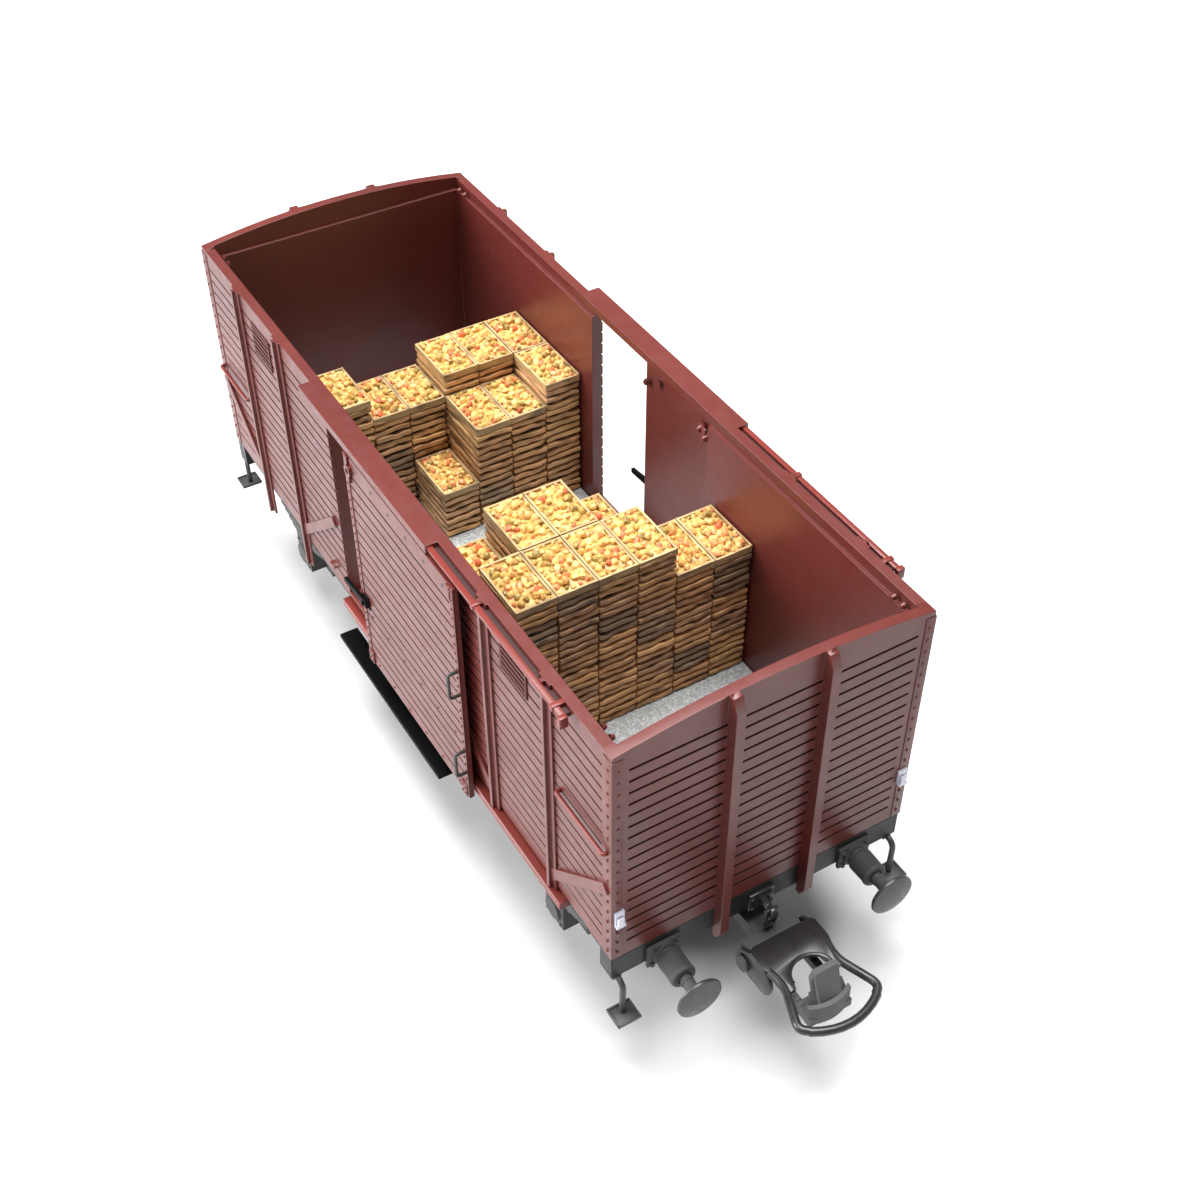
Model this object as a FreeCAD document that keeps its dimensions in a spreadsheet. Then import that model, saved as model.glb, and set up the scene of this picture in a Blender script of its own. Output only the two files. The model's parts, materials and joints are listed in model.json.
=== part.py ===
"""Model goods van in H0 scale with its roof off: a planked two-axle van carrying stacked fruit crates.

Frame: +X runs along the track to the front coupler, +Y is the left side, +Z is up. The origin lies
under the middle of the van, at the height of the wheel flanges' lowest point. Sizes are millimetres.
"""
import FreeCAD, Part
import math
import os
import re

Vector = FreeCAD.Vector
X_AXIS = Vector(1, 0, 0)
Y_AXIS = Vector(0, 1, 0)
LIE_ALONG_X = FreeCAD.Rotation(Y_AXIS, 90)
LIE_ALONG_Y = FreeCAD.Rotation(X_AXIS, -90)

DIMENSIONS = {
    # planked body
    "body_length": 82.3,
    "body_width": 30.2,
    "body_height": 25.15,
    "wheel_headroom": 0.45,
    "wall_thick": 1.3,
    "roof_seat_width": 0.3,
    "roof_seat_drop": 1.15,
    "end_arch_rise": 1.3,
    "plank_pitch": 1.33,
    "plank_first": 1.7,
    "groove_width": 0.22,
    "groove_depth": 0.16,
    "corner_strip": 1.5,
    "top_board": 2.0,
    # side posts, end posts and braces
    "post_inner_share": 0.2576,
    "post_outer_share": 0.38275,
    "post_flange_width": 1.7,
    "post_flange_thick": 0.22,
    "post_rib_width": 0.45,
    "post_rib_depth": 0.55,
    "post_foot_drop": 3.6,
    "end_post_spacing": 8.9,
    "end_post_width": 0.9,
    "end_post_depth": 1.15,
    "end_post_top": 1.2,
    "brace_width": 1.1,
    "brace_thick": 0.3,
    "brace_height": 9.3,
    # doorway, header, rails and doors
    "doorway_width": 20.8,
    "header_overlap": 2.8,
    "header_depth": 1.2,
    "header_thick": 0.85,
    "door_lap": 0.3,
    "door_drop": 2.1,
    "door_thick": 0.45,
    "door_gap": 0.75,
    "door_offset": 7.4,
    "door_top_gap": 0.15,
    "rail_end_inset": 6.15,
    "rail_depth": 0.7,
    "rail_height": 0.6,
    "sill_rail_lap": 0.7,
    "sill_rail_end_inset": 7.55,
    "sill_rail_clear": 0.12,
    "sill_rail_drop": 0.6,
    "sill_rail_height": 0.9,
    "peg_radius": 0.5,
    "peg_length": 0.35,
    "peg_rear": 8.2,
    "peg_front": 0.4,
    "handle_wire": 0.16,
    "handle_height": 2.9,
    "handle_standoff": 1.05,
    "handle_inset": 0.2,
    "handle_upper_rise": 11.6,
    "handle_lower_rise": 1.4,
    "latch_length": 4.5,
    "latch_rise": 6.4,
    "latch_height": 0.9,
    "latch_plate_thick": 0.1,
    "latch_bar_thick": 0.35,
    "keeper_rise": 2.2,
    # ventilators
    "vent_set_back": 0.35,
    "vent_width": 4.5,
    "vent_height": 3.6,
    "vent_top_gap": 1.95,
    "vent_recess": 0.45,
    "vent_frame": 0.3,
    "vent_proud": 0.12,
    "vent_slat": 0.32,
    # floor and underframe
    "tray_inset": 0.4,
    "tray_thick": 1.4,
    "plate_thick": 0.5,
    "plate_gap": 0.1,
    "headstock_height": 2.7,
    "headstock_thick": 1.9,
    "solebar_gap": 1.1,
    "solebar_side_gap": 0.15,
    "solebar_thick": 0.9,
    "solebar_height": 3.4,
    "cross_member": 1.2,
    "cross_member_x": 11.0,
    # buffers
    "buffer_spacing": 20.11,
    "buffer_drop": 1.95,
    "buffer_base_width": 3.4,
    "buffer_base_height": 2.5,
    "buffer_base_thick": 0.4,
    "buffer_casing_radius": 1.15,
    "buffer_casing_end_radius": 0.95,
    "buffer_casing_length": 3.1,
    "buffer_stem_radius": 0.6,
    "buffer_head_radius": 2.15,
    "buffer_head_thick": 0.5,
    "buffer_dome": 0.25,
    "buffer_dome_share": 0.45,
    "buffer_collar_proud": 0.2,
    "buffer_collar_length": 0.5,
    "buffer_length": 6.12,
    # draw hooks
    "draw_plate_thick": 0.35,
    "draw_plate_width": 2.6,
    "draw_plate_height": 2.0,
    "draw_hook_length": 2.15,
    "draw_hook_depth": 0.9,
    "draw_hook_thick": 0.7,
    # wheels and axles
    "axle_inset": 12.65,
    "tread_radius": 5.5,
    "flange_depth": 1.2,
    "flange_width": 0.9,
    "tyre_width": 2.8,
    "tyre_thick": 0.9,
    "back_to_back": 14.3,
    "axle_radius": 1.0,
    "hub_radius": 1.8,
    "web_thick": 0.8,
    "journal_radius": 0.5,
    "journal_clearance": 0.05,
    "journal_reach": 1.6,
    "shaft_gap": 0.4,
    # axle guards with springs and boxes
    "guard_gap": 0.95,
    "guard_thick": 0.6,
    "guard_foot_width": 9.0,
    "guard_leg": 0.9,
    "guard_mouth": 3.4,
    "box_width": 3.2,
    "box_height": 3.6,
    "box_depth": 2.6,
    "box_cover_radius": 1.15,
    "box_cover_thick": 0.3,
    "spring_span": 11.5,
    "spring_leaf": 0.35,
    "spring_width": 1.0,
    "spring_offset": 0.5,
    # brakes
    "shoe_gap": 0.35,
    "shoe_thick": 0.9,
    "shoe_width": 1.5,
    "shoe_height": 4.0,
    "shoe_side_gap": 0.1,
    "brake_cylinder_radius": 1.7,
    "brake_cylinder_length": 6.0,
    "brake_cylinder_y": 4.5,
    "brake_rod_radius": 0.45,
    "brake_lever_x": 8.6,
    "brake_lever_length": 6.4,
    "brake_lever_width": 0.8,
    # steps and small fittings
    "board_length": 22.9,
    "board_width": 2.0,
    "board_thick": 0.5,
    "board_drop": 5.6,
    "board_overhang": 1.4,
    "board_hanger_x": 8.0,
    "step_reach": 0.95,
    "step_side_inset": 0.7,
    "hanger_top_gap": 0.1,
    "step_length": 2.1,
    "step_width": 2.3,
    "step_thick": 0.3,
    "step_drop": 7.1,
    "step_rod": 0.3,
    "lamp_iron_rise": 6.5,
    "lamp_plate_thick": 0.25,
    "lamp_plate_width": 0.9,
    "lamp_plate_height": 1.5,
    "lamp_side_inset": 0.2,
    "lamp_tongue_reach": 0.55,
    "lamp_upright_width": 0.6,
    "lamp_upright_height": 1.1,
    "rope_rail_rise": 13.7,
    "rope_rail_rear_drop": 3.2,
    "rope_rail_wire": 0.2,
    # couplers
    "coupler_pivot_inset": 7.15,
    "coupler_pin_radius": 0.8,
    "coupler_running_gap": 0.06,
    "guide_width": 8.0,
    "guide_back": 2.9,
    "guide_clear": 0.3,
    "shank_width": 2.6,
    "shank_thick": 1.5,
    "shank_drop": 5.2,
    "loop_pivot_reach": 3.05,
    "loop_pivot_radius": 0.6,
    "cheek_inner_y": 2.95,
    "cheek_thick": 0.55,
    "cheek_radius": 1.35,
    "loop_plate_rise": 2.1,
    "loop_plate_thick": 0.45,
    "loop_plate_back": 0.4,
    "loop_plate_front": 3.9,
    "loop_mouth_radius": 1.9,
    "loop_mouth_offset": 0.9,
    "loop_bar_radius": 0.42,
    "loop_half_width": 4.35,
    "loop_corner_reach": 11.75,
    "loop_front_reach": 13.45,
    "loop_pin_gap": 0.1,
    "loop_pin_head": 0.3,
    "hook_front_reach": 11.15,
    "hook_half_width": 2.2,
    "hook_wall": 0.5,
    "hook_rise": 4.45,
    "hook_arm_width": 0.75,
    "hook_tongue_length": 2.2,
    "hook_bulge": 0.6,
    "hook_skirt_height": 2.3,
    "hook_slope": 1.0,
    # crate loads
    "crate_long": 6.9,
    "crate_course": 0.85,
    "load_side_gap": 0.15,
    "load_near_gap": 2.85,
    "load_rear_x": -26.4,
    "load_front_x": 4.9,
}

# Sizes that follow from the driving ones.
DERIVED = {
    # levels
    "body_base": "2*(tread_radius + flange_depth) + wheel_headroom + tray_thick",
    "buffer_height": "body_base - buffer_drop",
    "shank_middle": "body_base - shank_drop",
    "loop_plate_top": "shank_middle + loop_plate_rise",
    "hook_top": "shank_middle + hook_rise",
    "vent_base": "body_height - vent_top_gap - vent_height",
    # along the van
    "post_inner_x": "post_inner_share*body_length",
    "post_outer_x": "post_outer_share*body_length",
    "vent_x": "(post_inner_x + post_outer_x)/2 - vent_set_back",
    "header_length": "doorway_width + 2*header_overlap",
    "door_width": "doorway_width + 2*door_lap",
    "rail_end_x": "body_length/2 - rail_end_inset",
    "sill_rail_start": "doorway_width/2 + sill_rail_lap",
    "sill_rail_end": "body_length/2 - sill_rail_end_inset",
    "wheelbase": "body_length - 2*axle_inset",
    "buffer_reach": "body_length/2 + buffer_length",
    "step_x": "body_length/2 + step_reach",
    "coupler_pivot_x": "body_length/2 - coupler_pivot_inset",
    "loop_pivot_x": "body_length/2 + loop_pivot_reach",
    "loop_corner_x": "body_length/2 + loop_corner_reach",
    "loop_front_x": "body_length/2 + loop_front_reach",
    "hook_front_x": "body_length/2 + hook_front_reach",
    # across the van
    "guard_inner_y": "back_to_back/2 + tyre_width + guard_gap",
    "box_outer_y": "guard_inner_y + box_depth",
    "solebar_y": "min(guard_inner_y + solebar_gap; body_width/2 - solebar_thick - solebar_side_gap)",
    "axle_length": "2*(guard_inner_y + journal_reach)",
    "board_outer_y": "body_width/2 + board_overhang",
    "sill_rail_depth": "door_gap - sill_rail_clear",
    "step_y": "max(body_width/2 - step_side_inset; (buffer_spacing + buffer_base_width + step_width)/2)",
    "load_far_y": "body_width/2 - wall_thick - load_side_gap",
    "crate_wide": "(body_width - 2*wall_thick - load_side_gap - load_near_gap)/6",
}

# Courses of crate slats in each stack, from the left wall inwards; each row is one crate long.
REAR_STACKS = ((18, 18, 18, 15, 15, 18), (18, 15, 15, 7, 0, 0))
FRONT_STACKS = ((0, 0, 18, 22, 22, 18), (18, 18, 22, 22, 22, 22))

doc = FreeCAD.newDocument("GoodsVan")
DERIVED_WORDS = re.compile(r"\b(" + "|".join(DERIVED) + r")\b")
ALIAS_WORDS = re.compile(r"\b(" + "|".join(DIMENSIONS) + r")\b")
SILL_RAIL_ROOT = "max(body_width/2 - tray_inset; solebar_y + solebar_thick)"
LEAF_COUNT = 5
LEAF_TAPER = 0.17
SLAT_COUNT = 5
NODES = []


def fill_sheet():
    """Write every driving dimension into the spreadsheet, one row each."""
    sheet = doc.addObject("Spreadsheet::Sheet", "Dims")
    for row, (alias, value) in enumerate(DIMENSIONS.items(), start=1):
        sheet.set(f"A{row}", alias)
        sheet.set(f"B{row}", str(value))
        sheet.setAlias(f"B{row}", alias)
    doc.recompute()
    return sheet


SHEET = fill_sheet()


def in_cells(formula):
    """Formula with derived sizes written out and every alias pointing at its cell."""
    while DERIVED_WORDS.search(formula):
        formula = DERIVED_WORDS.sub(lambda word: f"({DERIVED[word.group(1)]})", formula)
    return ALIAS_WORDS.sub(r"Dims.\1", formula)


def size(name):
    """Value of one cell of the sheet, or of a size derived from the cells."""
    if name in DERIVED:
        return float(SHEET.evalExpression(in_cells(name)))
    return float(getattr(SHEET, name))


def bind(feature, prop, formula):
    """Tie a property to a formula in the sheet's aliases."""
    feature.setExpression(prop, in_cells(formula))


def place(feature, at, rotation=None):
    """Bind a feature's position, with a fixed turn."""
    if rotation:
        feature.Placement = FreeCAD.Placement(Vector(0, 0, 0), rotation)
    for axis, formula in zip("xyz", at):
        bind(feature, f"Placement.Base.{axis}", formula)
    return feature


def box(name, extent, at):
    """Box of the given extent with its lowest corner at a point."""
    feature = doc.addObject("Part::Box", name)
    for prop, formula in zip(("Length", "Width", "Height"), extent):
        bind(feature, prop, formula)
    return place(feature, at)


def cylinder(name, radius, length, at, turn=None):
    """Cylinder from a point, along Z or along the turned axis."""
    feature = doc.addObject("Part::Cylinder", name)
    bind(feature, "Radius", radius)
    bind(feature, "Height", length)
    return place(feature, at, turn)


def cone(name, radii, length, at, turn=None):
    """Truncated cone from a point, along Z or along the turned axis."""
    feature = doc.addObject("Part::Cone", name)
    bind(feature, "Radius1", radii[0])
    bind(feature, "Radius2", radii[1])
    bind(feature, "Height", length)
    return place(feature, at, turn)


def shape_feature(name, shape):
    """Feature whose shape is worked out from the sheet's values."""
    feature = doc.addObject("Part::Feature", name)
    feature.Shape = shape
    return feature


def fuse(name, pieces):
    """One solid from pieces that touch."""
    feature = doc.addObject("Part::MultiFuse", name)
    feature.Shapes = pieces
    return feature


def gather(name, pieces):
    """Group of separate pieces kept as they are."""
    feature = doc.addObject("Part::Compound", name)
    feature.Links = pieces
    return feature


def cut(name, base, tools):
    """Base with the tools' space taken away."""
    feature = doc.addObject("Part::Cut", name)
    feature.Base = base
    feature.Tool = tools[0] if len(tools) == 1 else gather(f"{name}_tools", tools)
    return feature


def mirror(source, name, normal):
    """Mirror image through the origin plane with the given normal."""
    feature = doc.addObject("Part::Mirroring", name)
    feature.Source = source
    feature.Normal = normal
    return feature


def node(feature, label):
    """Name a finished sub-part, which is written to its own file."""
    feature.Label = label
    NODES.append(feature)
    return feature


def both_sides(feature, stem):
    """A left-hand sub-part and its right-hand mirror image."""
    node(feature, f"{stem}_left")
    node(mirror(feature, f"{stem}_mirror_y", Y_AXIS), f"{stem}_right")


def both_ends(feature, stem):
    """A front sub-part and its rear mirror image."""
    node(feature, f"{stem}_front")
    node(mirror(feature, f"{stem}_mirror_x", X_AXIS), f"{stem}_rear")


def all_corners(feature, stem):
    """A front left sub-part and its three mirror images."""
    right = mirror(feature, f"{stem}_mirror_y", Y_AXIS)
    node(feature, f"{stem}_front_left")
    node(right, f"{stem}_front_right")
    node(mirror(feature, f"{stem}_mirror_x", X_AXIS), f"{stem}_rear_left")
    node(mirror(right, f"{stem}_mirror_xy", X_AXIS), f"{stem}_rear_right")


def polygon_prism(points, travel):
    """Straight-sided outline swept along a vector."""
    outline = Part.makePolygon([Vector(*point) for point in points + points[:1]])
    return Part.Face(outline).extrude(travel)


def round_bar(points, radius, bend):
    """Round bar along a polyline whose corners are arcs of one bend radius."""
    corners = [Vector(*point) for point in points]
    edges = []
    start = corners[0]
    for before, corner, after in zip(corners, corners[1:], corners[2:]):
        back = (before - corner).normalize()
        ahead = (after - corner).normalize()
        half_turn = back.getAngle(ahead) / 2
        reach = bend / math.tan(half_turn)
        inward = (back + ahead).normalize()
        centre = corner + inward * (bend / math.sin(half_turn))
        arc_start = corner + back * reach
        arc_end = corner + ahead * reach
        edges.append(Part.LineSegment(start, arc_start).toShape())
        edges.append(Part.Arc(arc_start, centre - inward * bend, arc_end).toShape())
        start = arc_end
    edges.append(Part.LineSegment(start, corners[-1]).toShape())
    path = Part.Wire(edges)
    direction = (corners[1] - corners[0]).normalize()
    section = Part.Wire([Part.Circle(corners[0], direction, radius).toShape()])
    return path.makePipeShell([section], True, True)


# --- planked body -------------------------------------------------------------------------------

def body_walls():
    """Four walls with arched ends, open at the top, with the roof's seat stepped inside the rim."""
    half_width = size("body_width") / 2
    eaves = size("body_base") + size("body_height")
    rise = size("end_arch_rise")
    gable_start = size("body_length") / 2 - size("wall_thick")
    gable_edges = [
        Part.LineSegment(Vector(gable_start, half_width, eaves), Vector(gable_start, -half_width, eaves)),
        Part.Arc(
            Vector(gable_start, -half_width, eaves),
            Vector(gable_start, 0, eaves + rise),
            Vector(gable_start, half_width, eaves),
        ),
    ]
    gable_wire = Part.Wire([edge.toShape() for edge in gable_edges])
    gable = shape_feature("gable", Part.Face(gable_wire).extrude(Vector(size("wall_thick"), 0, 0)))
    block = box(
        "wall_block",
        ("body_length", "body_width", "body_height"),
        ("-body_length/2", "-body_width/2", "body_base"),
    )
    room = box(
        "room",
        ("body_length - 2*wall_thick", "body_width - 2*wall_thick", "body_height + end_arch_rise"),
        ("-body_length/2 + wall_thick", "-body_width/2 + wall_thick", "body_base"),
    )
    roof_seat = box(
        "roof_seat",
        (
            "body_length - 2*wall_thick + 2*roof_seat_width",
            "body_width - 2*wall_thick + 2*roof_seat_width",
            "roof_seat_drop + 2*end_arch_rise",
        ),
        (
            "-body_length/2 + wall_thick - roof_seat_width",
            "-body_width/2 + wall_thick - roof_seat_width",
            "body_base + body_height - roof_seat_drop",
        ),
    )
    walls = fuse("walls_solid", [block, gable, mirror(gable, "gable_rear", X_AXIS)])
    return cut("walls", walls, [fuse("hollow", [room, roof_seat])])


def plank_grooves():
    """Grooves between the planks, which stop short of the corner strips and the top board."""
    grooves = []
    count = int((size("body_height") - size("top_board") - size("plank_first")) / size("plank_pitch")) + 1
    for row in range(count):
        level = f"body_base + plank_first + {row}*plank_pitch"
        along = ("body_length - 2*corner_strip", "2*groove_depth", "groove_width")
        across = ("2*groove_depth", "body_width - 2*corner_strip", "groove_width")
        start_x = "-body_length/2 + corner_strip"
        start_y = "-body_width/2 + corner_strip"
        grooves.append(box(f"groove_right_{row}", along, (start_x, "-body_width/2 - groove_depth", level)))
        grooves.append(box(f"groove_left_{row}", along, (start_x, "body_width/2 - groove_depth", level)))
        grooves.append(box(f"groove_rear_{row}", across, ("-body_length/2 - groove_depth", start_y, level)))
        grooves.append(box(f"groove_front_{row}", across, ("body_length/2 - groove_depth", start_y, level)))
    return grooves


def side_post(name, centre_x, foot):
    """Hat-section post on the left side, from its foot to the rim."""
    wall = "body_width/2"
    height = f"body_base + body_height - ({foot})"
    flange = box(
        f"{name}_flange",
        ("post_flange_width", "post_flange_thick", height),
        (f"{centre_x} - post_flange_width/2", wall, foot),
    )
    rib = box(
        f"{name}_rib",
        ("post_rib_width", "post_rib_depth", height),
        (f"{centre_x} - post_rib_width/2", wall, foot),
    )
    return [flange, rib]


def side_brace(name, low, high):
    """Flat brace on the left side between two points given as (x, z)."""
    wall = size("body_width") / 2
    run = Vector(high[0] - low[0], 0, high[1] - low[1]).normalize()
    lift = Vector(-run.z, 0, run.x) * (size("brace_width") / 2)
    first = Vector(low[0], wall, low[1])
    last = Vector(high[0], wall, high[1])
    corners = [first - lift, last - lift, last + lift, first + lift]
    points = [tuple(corner) for corner in corners]
    return shape_feature(name, polygon_prism(points, Vector(0, size("brace_thick"), 0)))


def left_side_dressing():
    """Posts, braces, door header and latch keeper that stand proud of the left wall."""
    rear_foot = "body_base - post_foot_drop"
    front_foot = "body_base - sill_rail_drop + door_top_gap"
    pieces = []
    pieces += side_post("post_rear_outer", "-post_outer_x", rear_foot)
    pieces += side_post("post_rear_inner", "-post_inner_x", rear_foot)
    pieces += side_post("post_front_inner", "post_inner_x", front_foot)
    pieces += side_post("post_front_outer", "post_outer_x", front_foot)
    base = size("body_base")
    width = size("brace_width")
    foot_z = base + width
    corner_z = base + size("brace_height")
    corner_x = size("body_length") / 2 - width / 2
    outer_x = size("post_outer_x")
    inner_x = size("post_inner_x")
    jamb_x = size("doorway_width") / 2 + width
    for end in (-1, 1):
        pieces.append(side_brace(f"brace_outer_{end}", (end * outer_x, foot_z), (end * corner_x, corner_z)))
        pieces.append(side_brace(f"brace_inner_{end}", (end * inner_x, foot_z), (end * jamb_x, corner_z)))
    pieces.append(box(
        "header",
        ("header_length", "header_depth", "header_thick"),
        ("-header_length/2", "body_width/2", "body_base + body_height - header_thick"),
    ))
    pieces.append(box(
        "latch_keeper",
        ("brace_width", "post_rib_depth", "brace_thick"),
        ("-doorway_width/2 - 3*brace_width", "body_width/2", "body_base + keeper_rise"),
    ))
    return pieces


def end_posts():
    """Two deep ribs on the front end with sloping tops."""
    wall = size("body_length") / 2
    depth = size("end_post_depth")
    foot = size("body_base") - size("post_foot_drop")
    head = size("body_base") + size("body_height") + size("end_post_top")
    width = size("end_post_width")
    outline = [
        (wall, 0, foot),
        (wall + depth / 2, 0, foot),
        (wall + depth, 0, foot + depth),
        (wall + depth, 0, head - depth),
        (wall + depth / 2, 0, head),
        (wall, 0, head),
    ]
    posts = []
    for side in (-1, 1):
        middle = side * size("end_post_spacing") / 2
        points = [(x, middle - width / 2, z) for x, _, z in outline]
        posts.append(shape_feature(f"end_post_{side}", polygon_prism(points, Vector(0, width, 0))))
    return posts


def vent_space(name, side, centre_x):
    """Recess in a side wall for one ventilator."""
    inner_y = "body_width/2 - vent_recess" if side > 0 else "-body_width/2 - vent_recess"
    return box(
        name,
        ("vent_width", "2*vent_recess", "vent_height"),
        (f"{centre_x} - vent_width/2", inner_y, "body_base + vent_base"),
    )


def make_body_shell():
    """The moulded body: walls, planks, posts, header and recesses in one piece."""
    doorway = box(
        "doorway",
        ("doorway_width", "2*body_width", "body_height - header_thick - plate_thick"),
        ("-doorway_width/2", "-body_width", "body_base + plate_thick"),
    )
    recesses = [
        vent_space(f"vent_space_{side}_{end}", side, f"{end}*vent_x") for side in (-1, 1) for end in (-1, 1)
    ]
    planked = cut("planked_walls", body_walls(), plank_grooves())
    opened = cut("opened_walls", planked, [fuse("openings", [doorway] + recesses)])
    left = left_side_dressing()
    right = [mirror(piece, f"{piece.Name}_right", Y_AXIS) for piece in left]
    front = end_posts()
    rear = [mirror(piece, f"{piece.Name}_rear", X_AXIS) for piece in front]
    node(fuse("body_shell", [opened] + left + right + front + rear), "body_shell")


def make_ventilators():
    """Louvred ventilator for a side recess, with its working lever on the front edge."""
    outer = box(
        "vent_outer",
        ("vent_width", "vent_recess + vent_proud", "vent_height"),
        ("vent_x - vent_width/2", "body_width/2 - vent_recess", "body_base + vent_base"),
    )
    window = box(
        "vent_window",
        ("vent_width - 2*vent_frame", "vent_recess + vent_proud", "vent_height - 2*vent_frame"),
        (
            "vent_x - vent_width/2 + vent_frame",
            "body_width/2 - vent_recess/2",
            "body_base + vent_base + vent_frame",
        ),
    )
    pieces = [cut("vent_frame_ring", outer, [window])]
    for index in range(SLAT_COUNT):
        pieces.append(box(
            f"vent_slat_{index}",
            ("vent_width - 2*vent_frame", "vent_recess/2 + vent_proud", "vent_slat"),
            (
                "vent_x - vent_width/2 + vent_frame",
                "body_width/2 - vent_recess/2",
                "body_base + vent_base + vent_frame - vent_slat/2"
                f" + {index + 0.5}*(vent_height - 2*vent_frame)/{SLAT_COUNT}",
            ),
        ))
    all_corners(fuse("ventilator", pieces), "ventilator")


# --- doors --------------------------------------------------------------------------------------

def make_door_rails():
    """Upper rail that a door hangs from, with its end stop and brackets, and the guide rail below."""
    rail_top = "body_base + body_height - header_thick"
    rail = box(
        "door_rail_bar",
        ("rail_end_x - header_length/2", "rail_depth", "rail_height"),
        ("header_length/2", "body_width/2 + post_rib_depth", f"{rail_top} + door_top_gap"),
    )
    pieces = [rail]
    for index, centre in enumerate(("post_inner_x + 1.5*post_flange_width", "rail_end_x - rail_depth")):
        pieces.append(box(
            f"door_rail_bracket_{index}",
            ("rail_depth", "post_rib_depth", "rail_height"),
            (f"{centre} - rail_depth/2", "body_width/2", f"{rail_top} + door_top_gap"),
        ))
    pieces.append(box(
        "door_rail_stop",
        ("rail_depth", "rail_depth", "2*rail_height"),
        (
            "rail_end_x",
            "body_width/2 + post_rib_depth",
            f"{rail_top} + door_top_gap - rail_height",
        ),
    ))
    both_sides(fuse("door_rail", pieces), "door_rail")
    sill = box(
        "sill_rail",
        (
            "sill_rail_start + sill_rail_end",
            f"body_width/2 + sill_rail_depth - {SILL_RAIL_ROOT}",
            "sill_rail_height",
        ),
        (
            "-sill_rail_start",
            SILL_RAIL_ROOT,
            "body_base - sill_rail_drop - sill_rail_height",
        ),
    )
    both_sides(sill, "sill_rail")


def make_doors():
    """Planked sliding door, partly open, with hanging pegs inside, wire handles and a latch."""
    inner = "body_width/2 + door_gap"
    outer = "body_width/2 + door_gap + door_thick"
    start = "door_offset - door_width/2"
    foot = "body_base - door_drop"
    height = "body_height + door_drop - header_thick - door_top_gap"
    leaf = box("door_leaf", ("door_width", "door_thick", height), (start, inner, foot))
    grooves = []
    span = size("body_height") + size("door_drop") - size("header_thick") - size("top_board")
    for row in range(1, int(span / size("plank_pitch")) + 1):
        grooves.append(box(
            f"door_groove_{row}",
            ("door_width - corner_strip", "groove_depth", "groove_width"),
            (f"{start} + corner_strip/2", f"{outer} - groove_depth", f"{foot} + {row}*plank_pitch"),
        ))
    pegs = []
    for index, behind in enumerate(("peg_rear", "peg_front")):
        pegs.append(cylinder(
            f"door_peg_{index}",
            "peg_radius",
            "peg_length",
            (f"door_offset - {behind}", f"{inner} - peg_length", "body_base + body_height - 3*plank_pitch"),
            LIE_ALONG_Y,
        ))
    both_sides(fuse("door", [cut("planked_leaf", leaf, grooves)] + pegs), "door")

    grip_x = size("door_offset") + size("door_width") / 2 - size("handle_inset")
    face = size("body_width") / 2 + size("door_gap") + size("door_thick")
    grip_y = face + size("handle_standoff")
    wire = size("handle_wire")
    handles = []
    for rise in ("handle_upper_rise", "handle_lower_rise"):
        low = size("body_base") + size(rise)
        high = low + size("handle_height")
        route = [(grip_x, face, high), (grip_x, grip_y, high), (grip_x, grip_y, low), (grip_x, face, low)]
        handles.append(shape_feature(rise.replace("rise", "grip"), round_bar(route, wire, 2 * wire)))
    both_sides(gather("door_handles", handles), "door_handles")

    pivot_x = size("door_offset") - size("door_width") / 2 + 2 * size("peg_radius")
    level = size("body_base") + size("latch_rise")
    tip_x = pivot_x - size("latch_length")
    tail_x = pivot_x + 1.2 * size("peg_radius")
    bar_y = face + size("latch_plate_thick")
    depth = size("latch_height")
    lever = [
        (tail_x, bar_y, level - 0.4 * depth),
        (tail_x, bar_y, level + 0.6 * depth),
        (tip_x, bar_y, level - 0.2 * depth),
        (tip_x, bar_y, level - 0.8 * depth),
    ]
    plate = box(
        "latch_plate",
        ("3*peg_radius", "latch_plate_thick", "3*peg_radius"),
        (f"{start} + 0.25*peg_radius", outer, "body_base + latch_rise - 1.5*peg_radius"),
    )
    bolt = cylinder(
        "latch_bolt",
        "0.5*peg_radius",
        "latch_plate_thick + 1.5*latch_bar_thick",
        (f"{start} + 2*peg_radius", outer, "body_base + latch_rise"),
        LIE_ALONG_Y,
    )
    bar = shape_feature("latch_lever", polygon_prism(lever, Vector(0, size("latch_bar_thick"), 0)))
    both_sides(fuse("door_latch", [plate, bolt, bar]), "door_latch")


# --- floor and underframe -----------------------------------------------------------------------

def make_floor():
    """Ballast plate that forms the van's floor."""
    node(box(
        "ballast_plate",
        (
            "body_length - 2*wall_thick - 2*plate_gap",
            "body_width - 2*wall_thick - 2*plate_gap",
            "plate_thick",
        ),
        ("-body_length/2 + wall_thick + plate_gap", "-body_width/2 + wall_thick + plate_gap", "body_base"),
    ), "ballast_plate")


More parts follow.
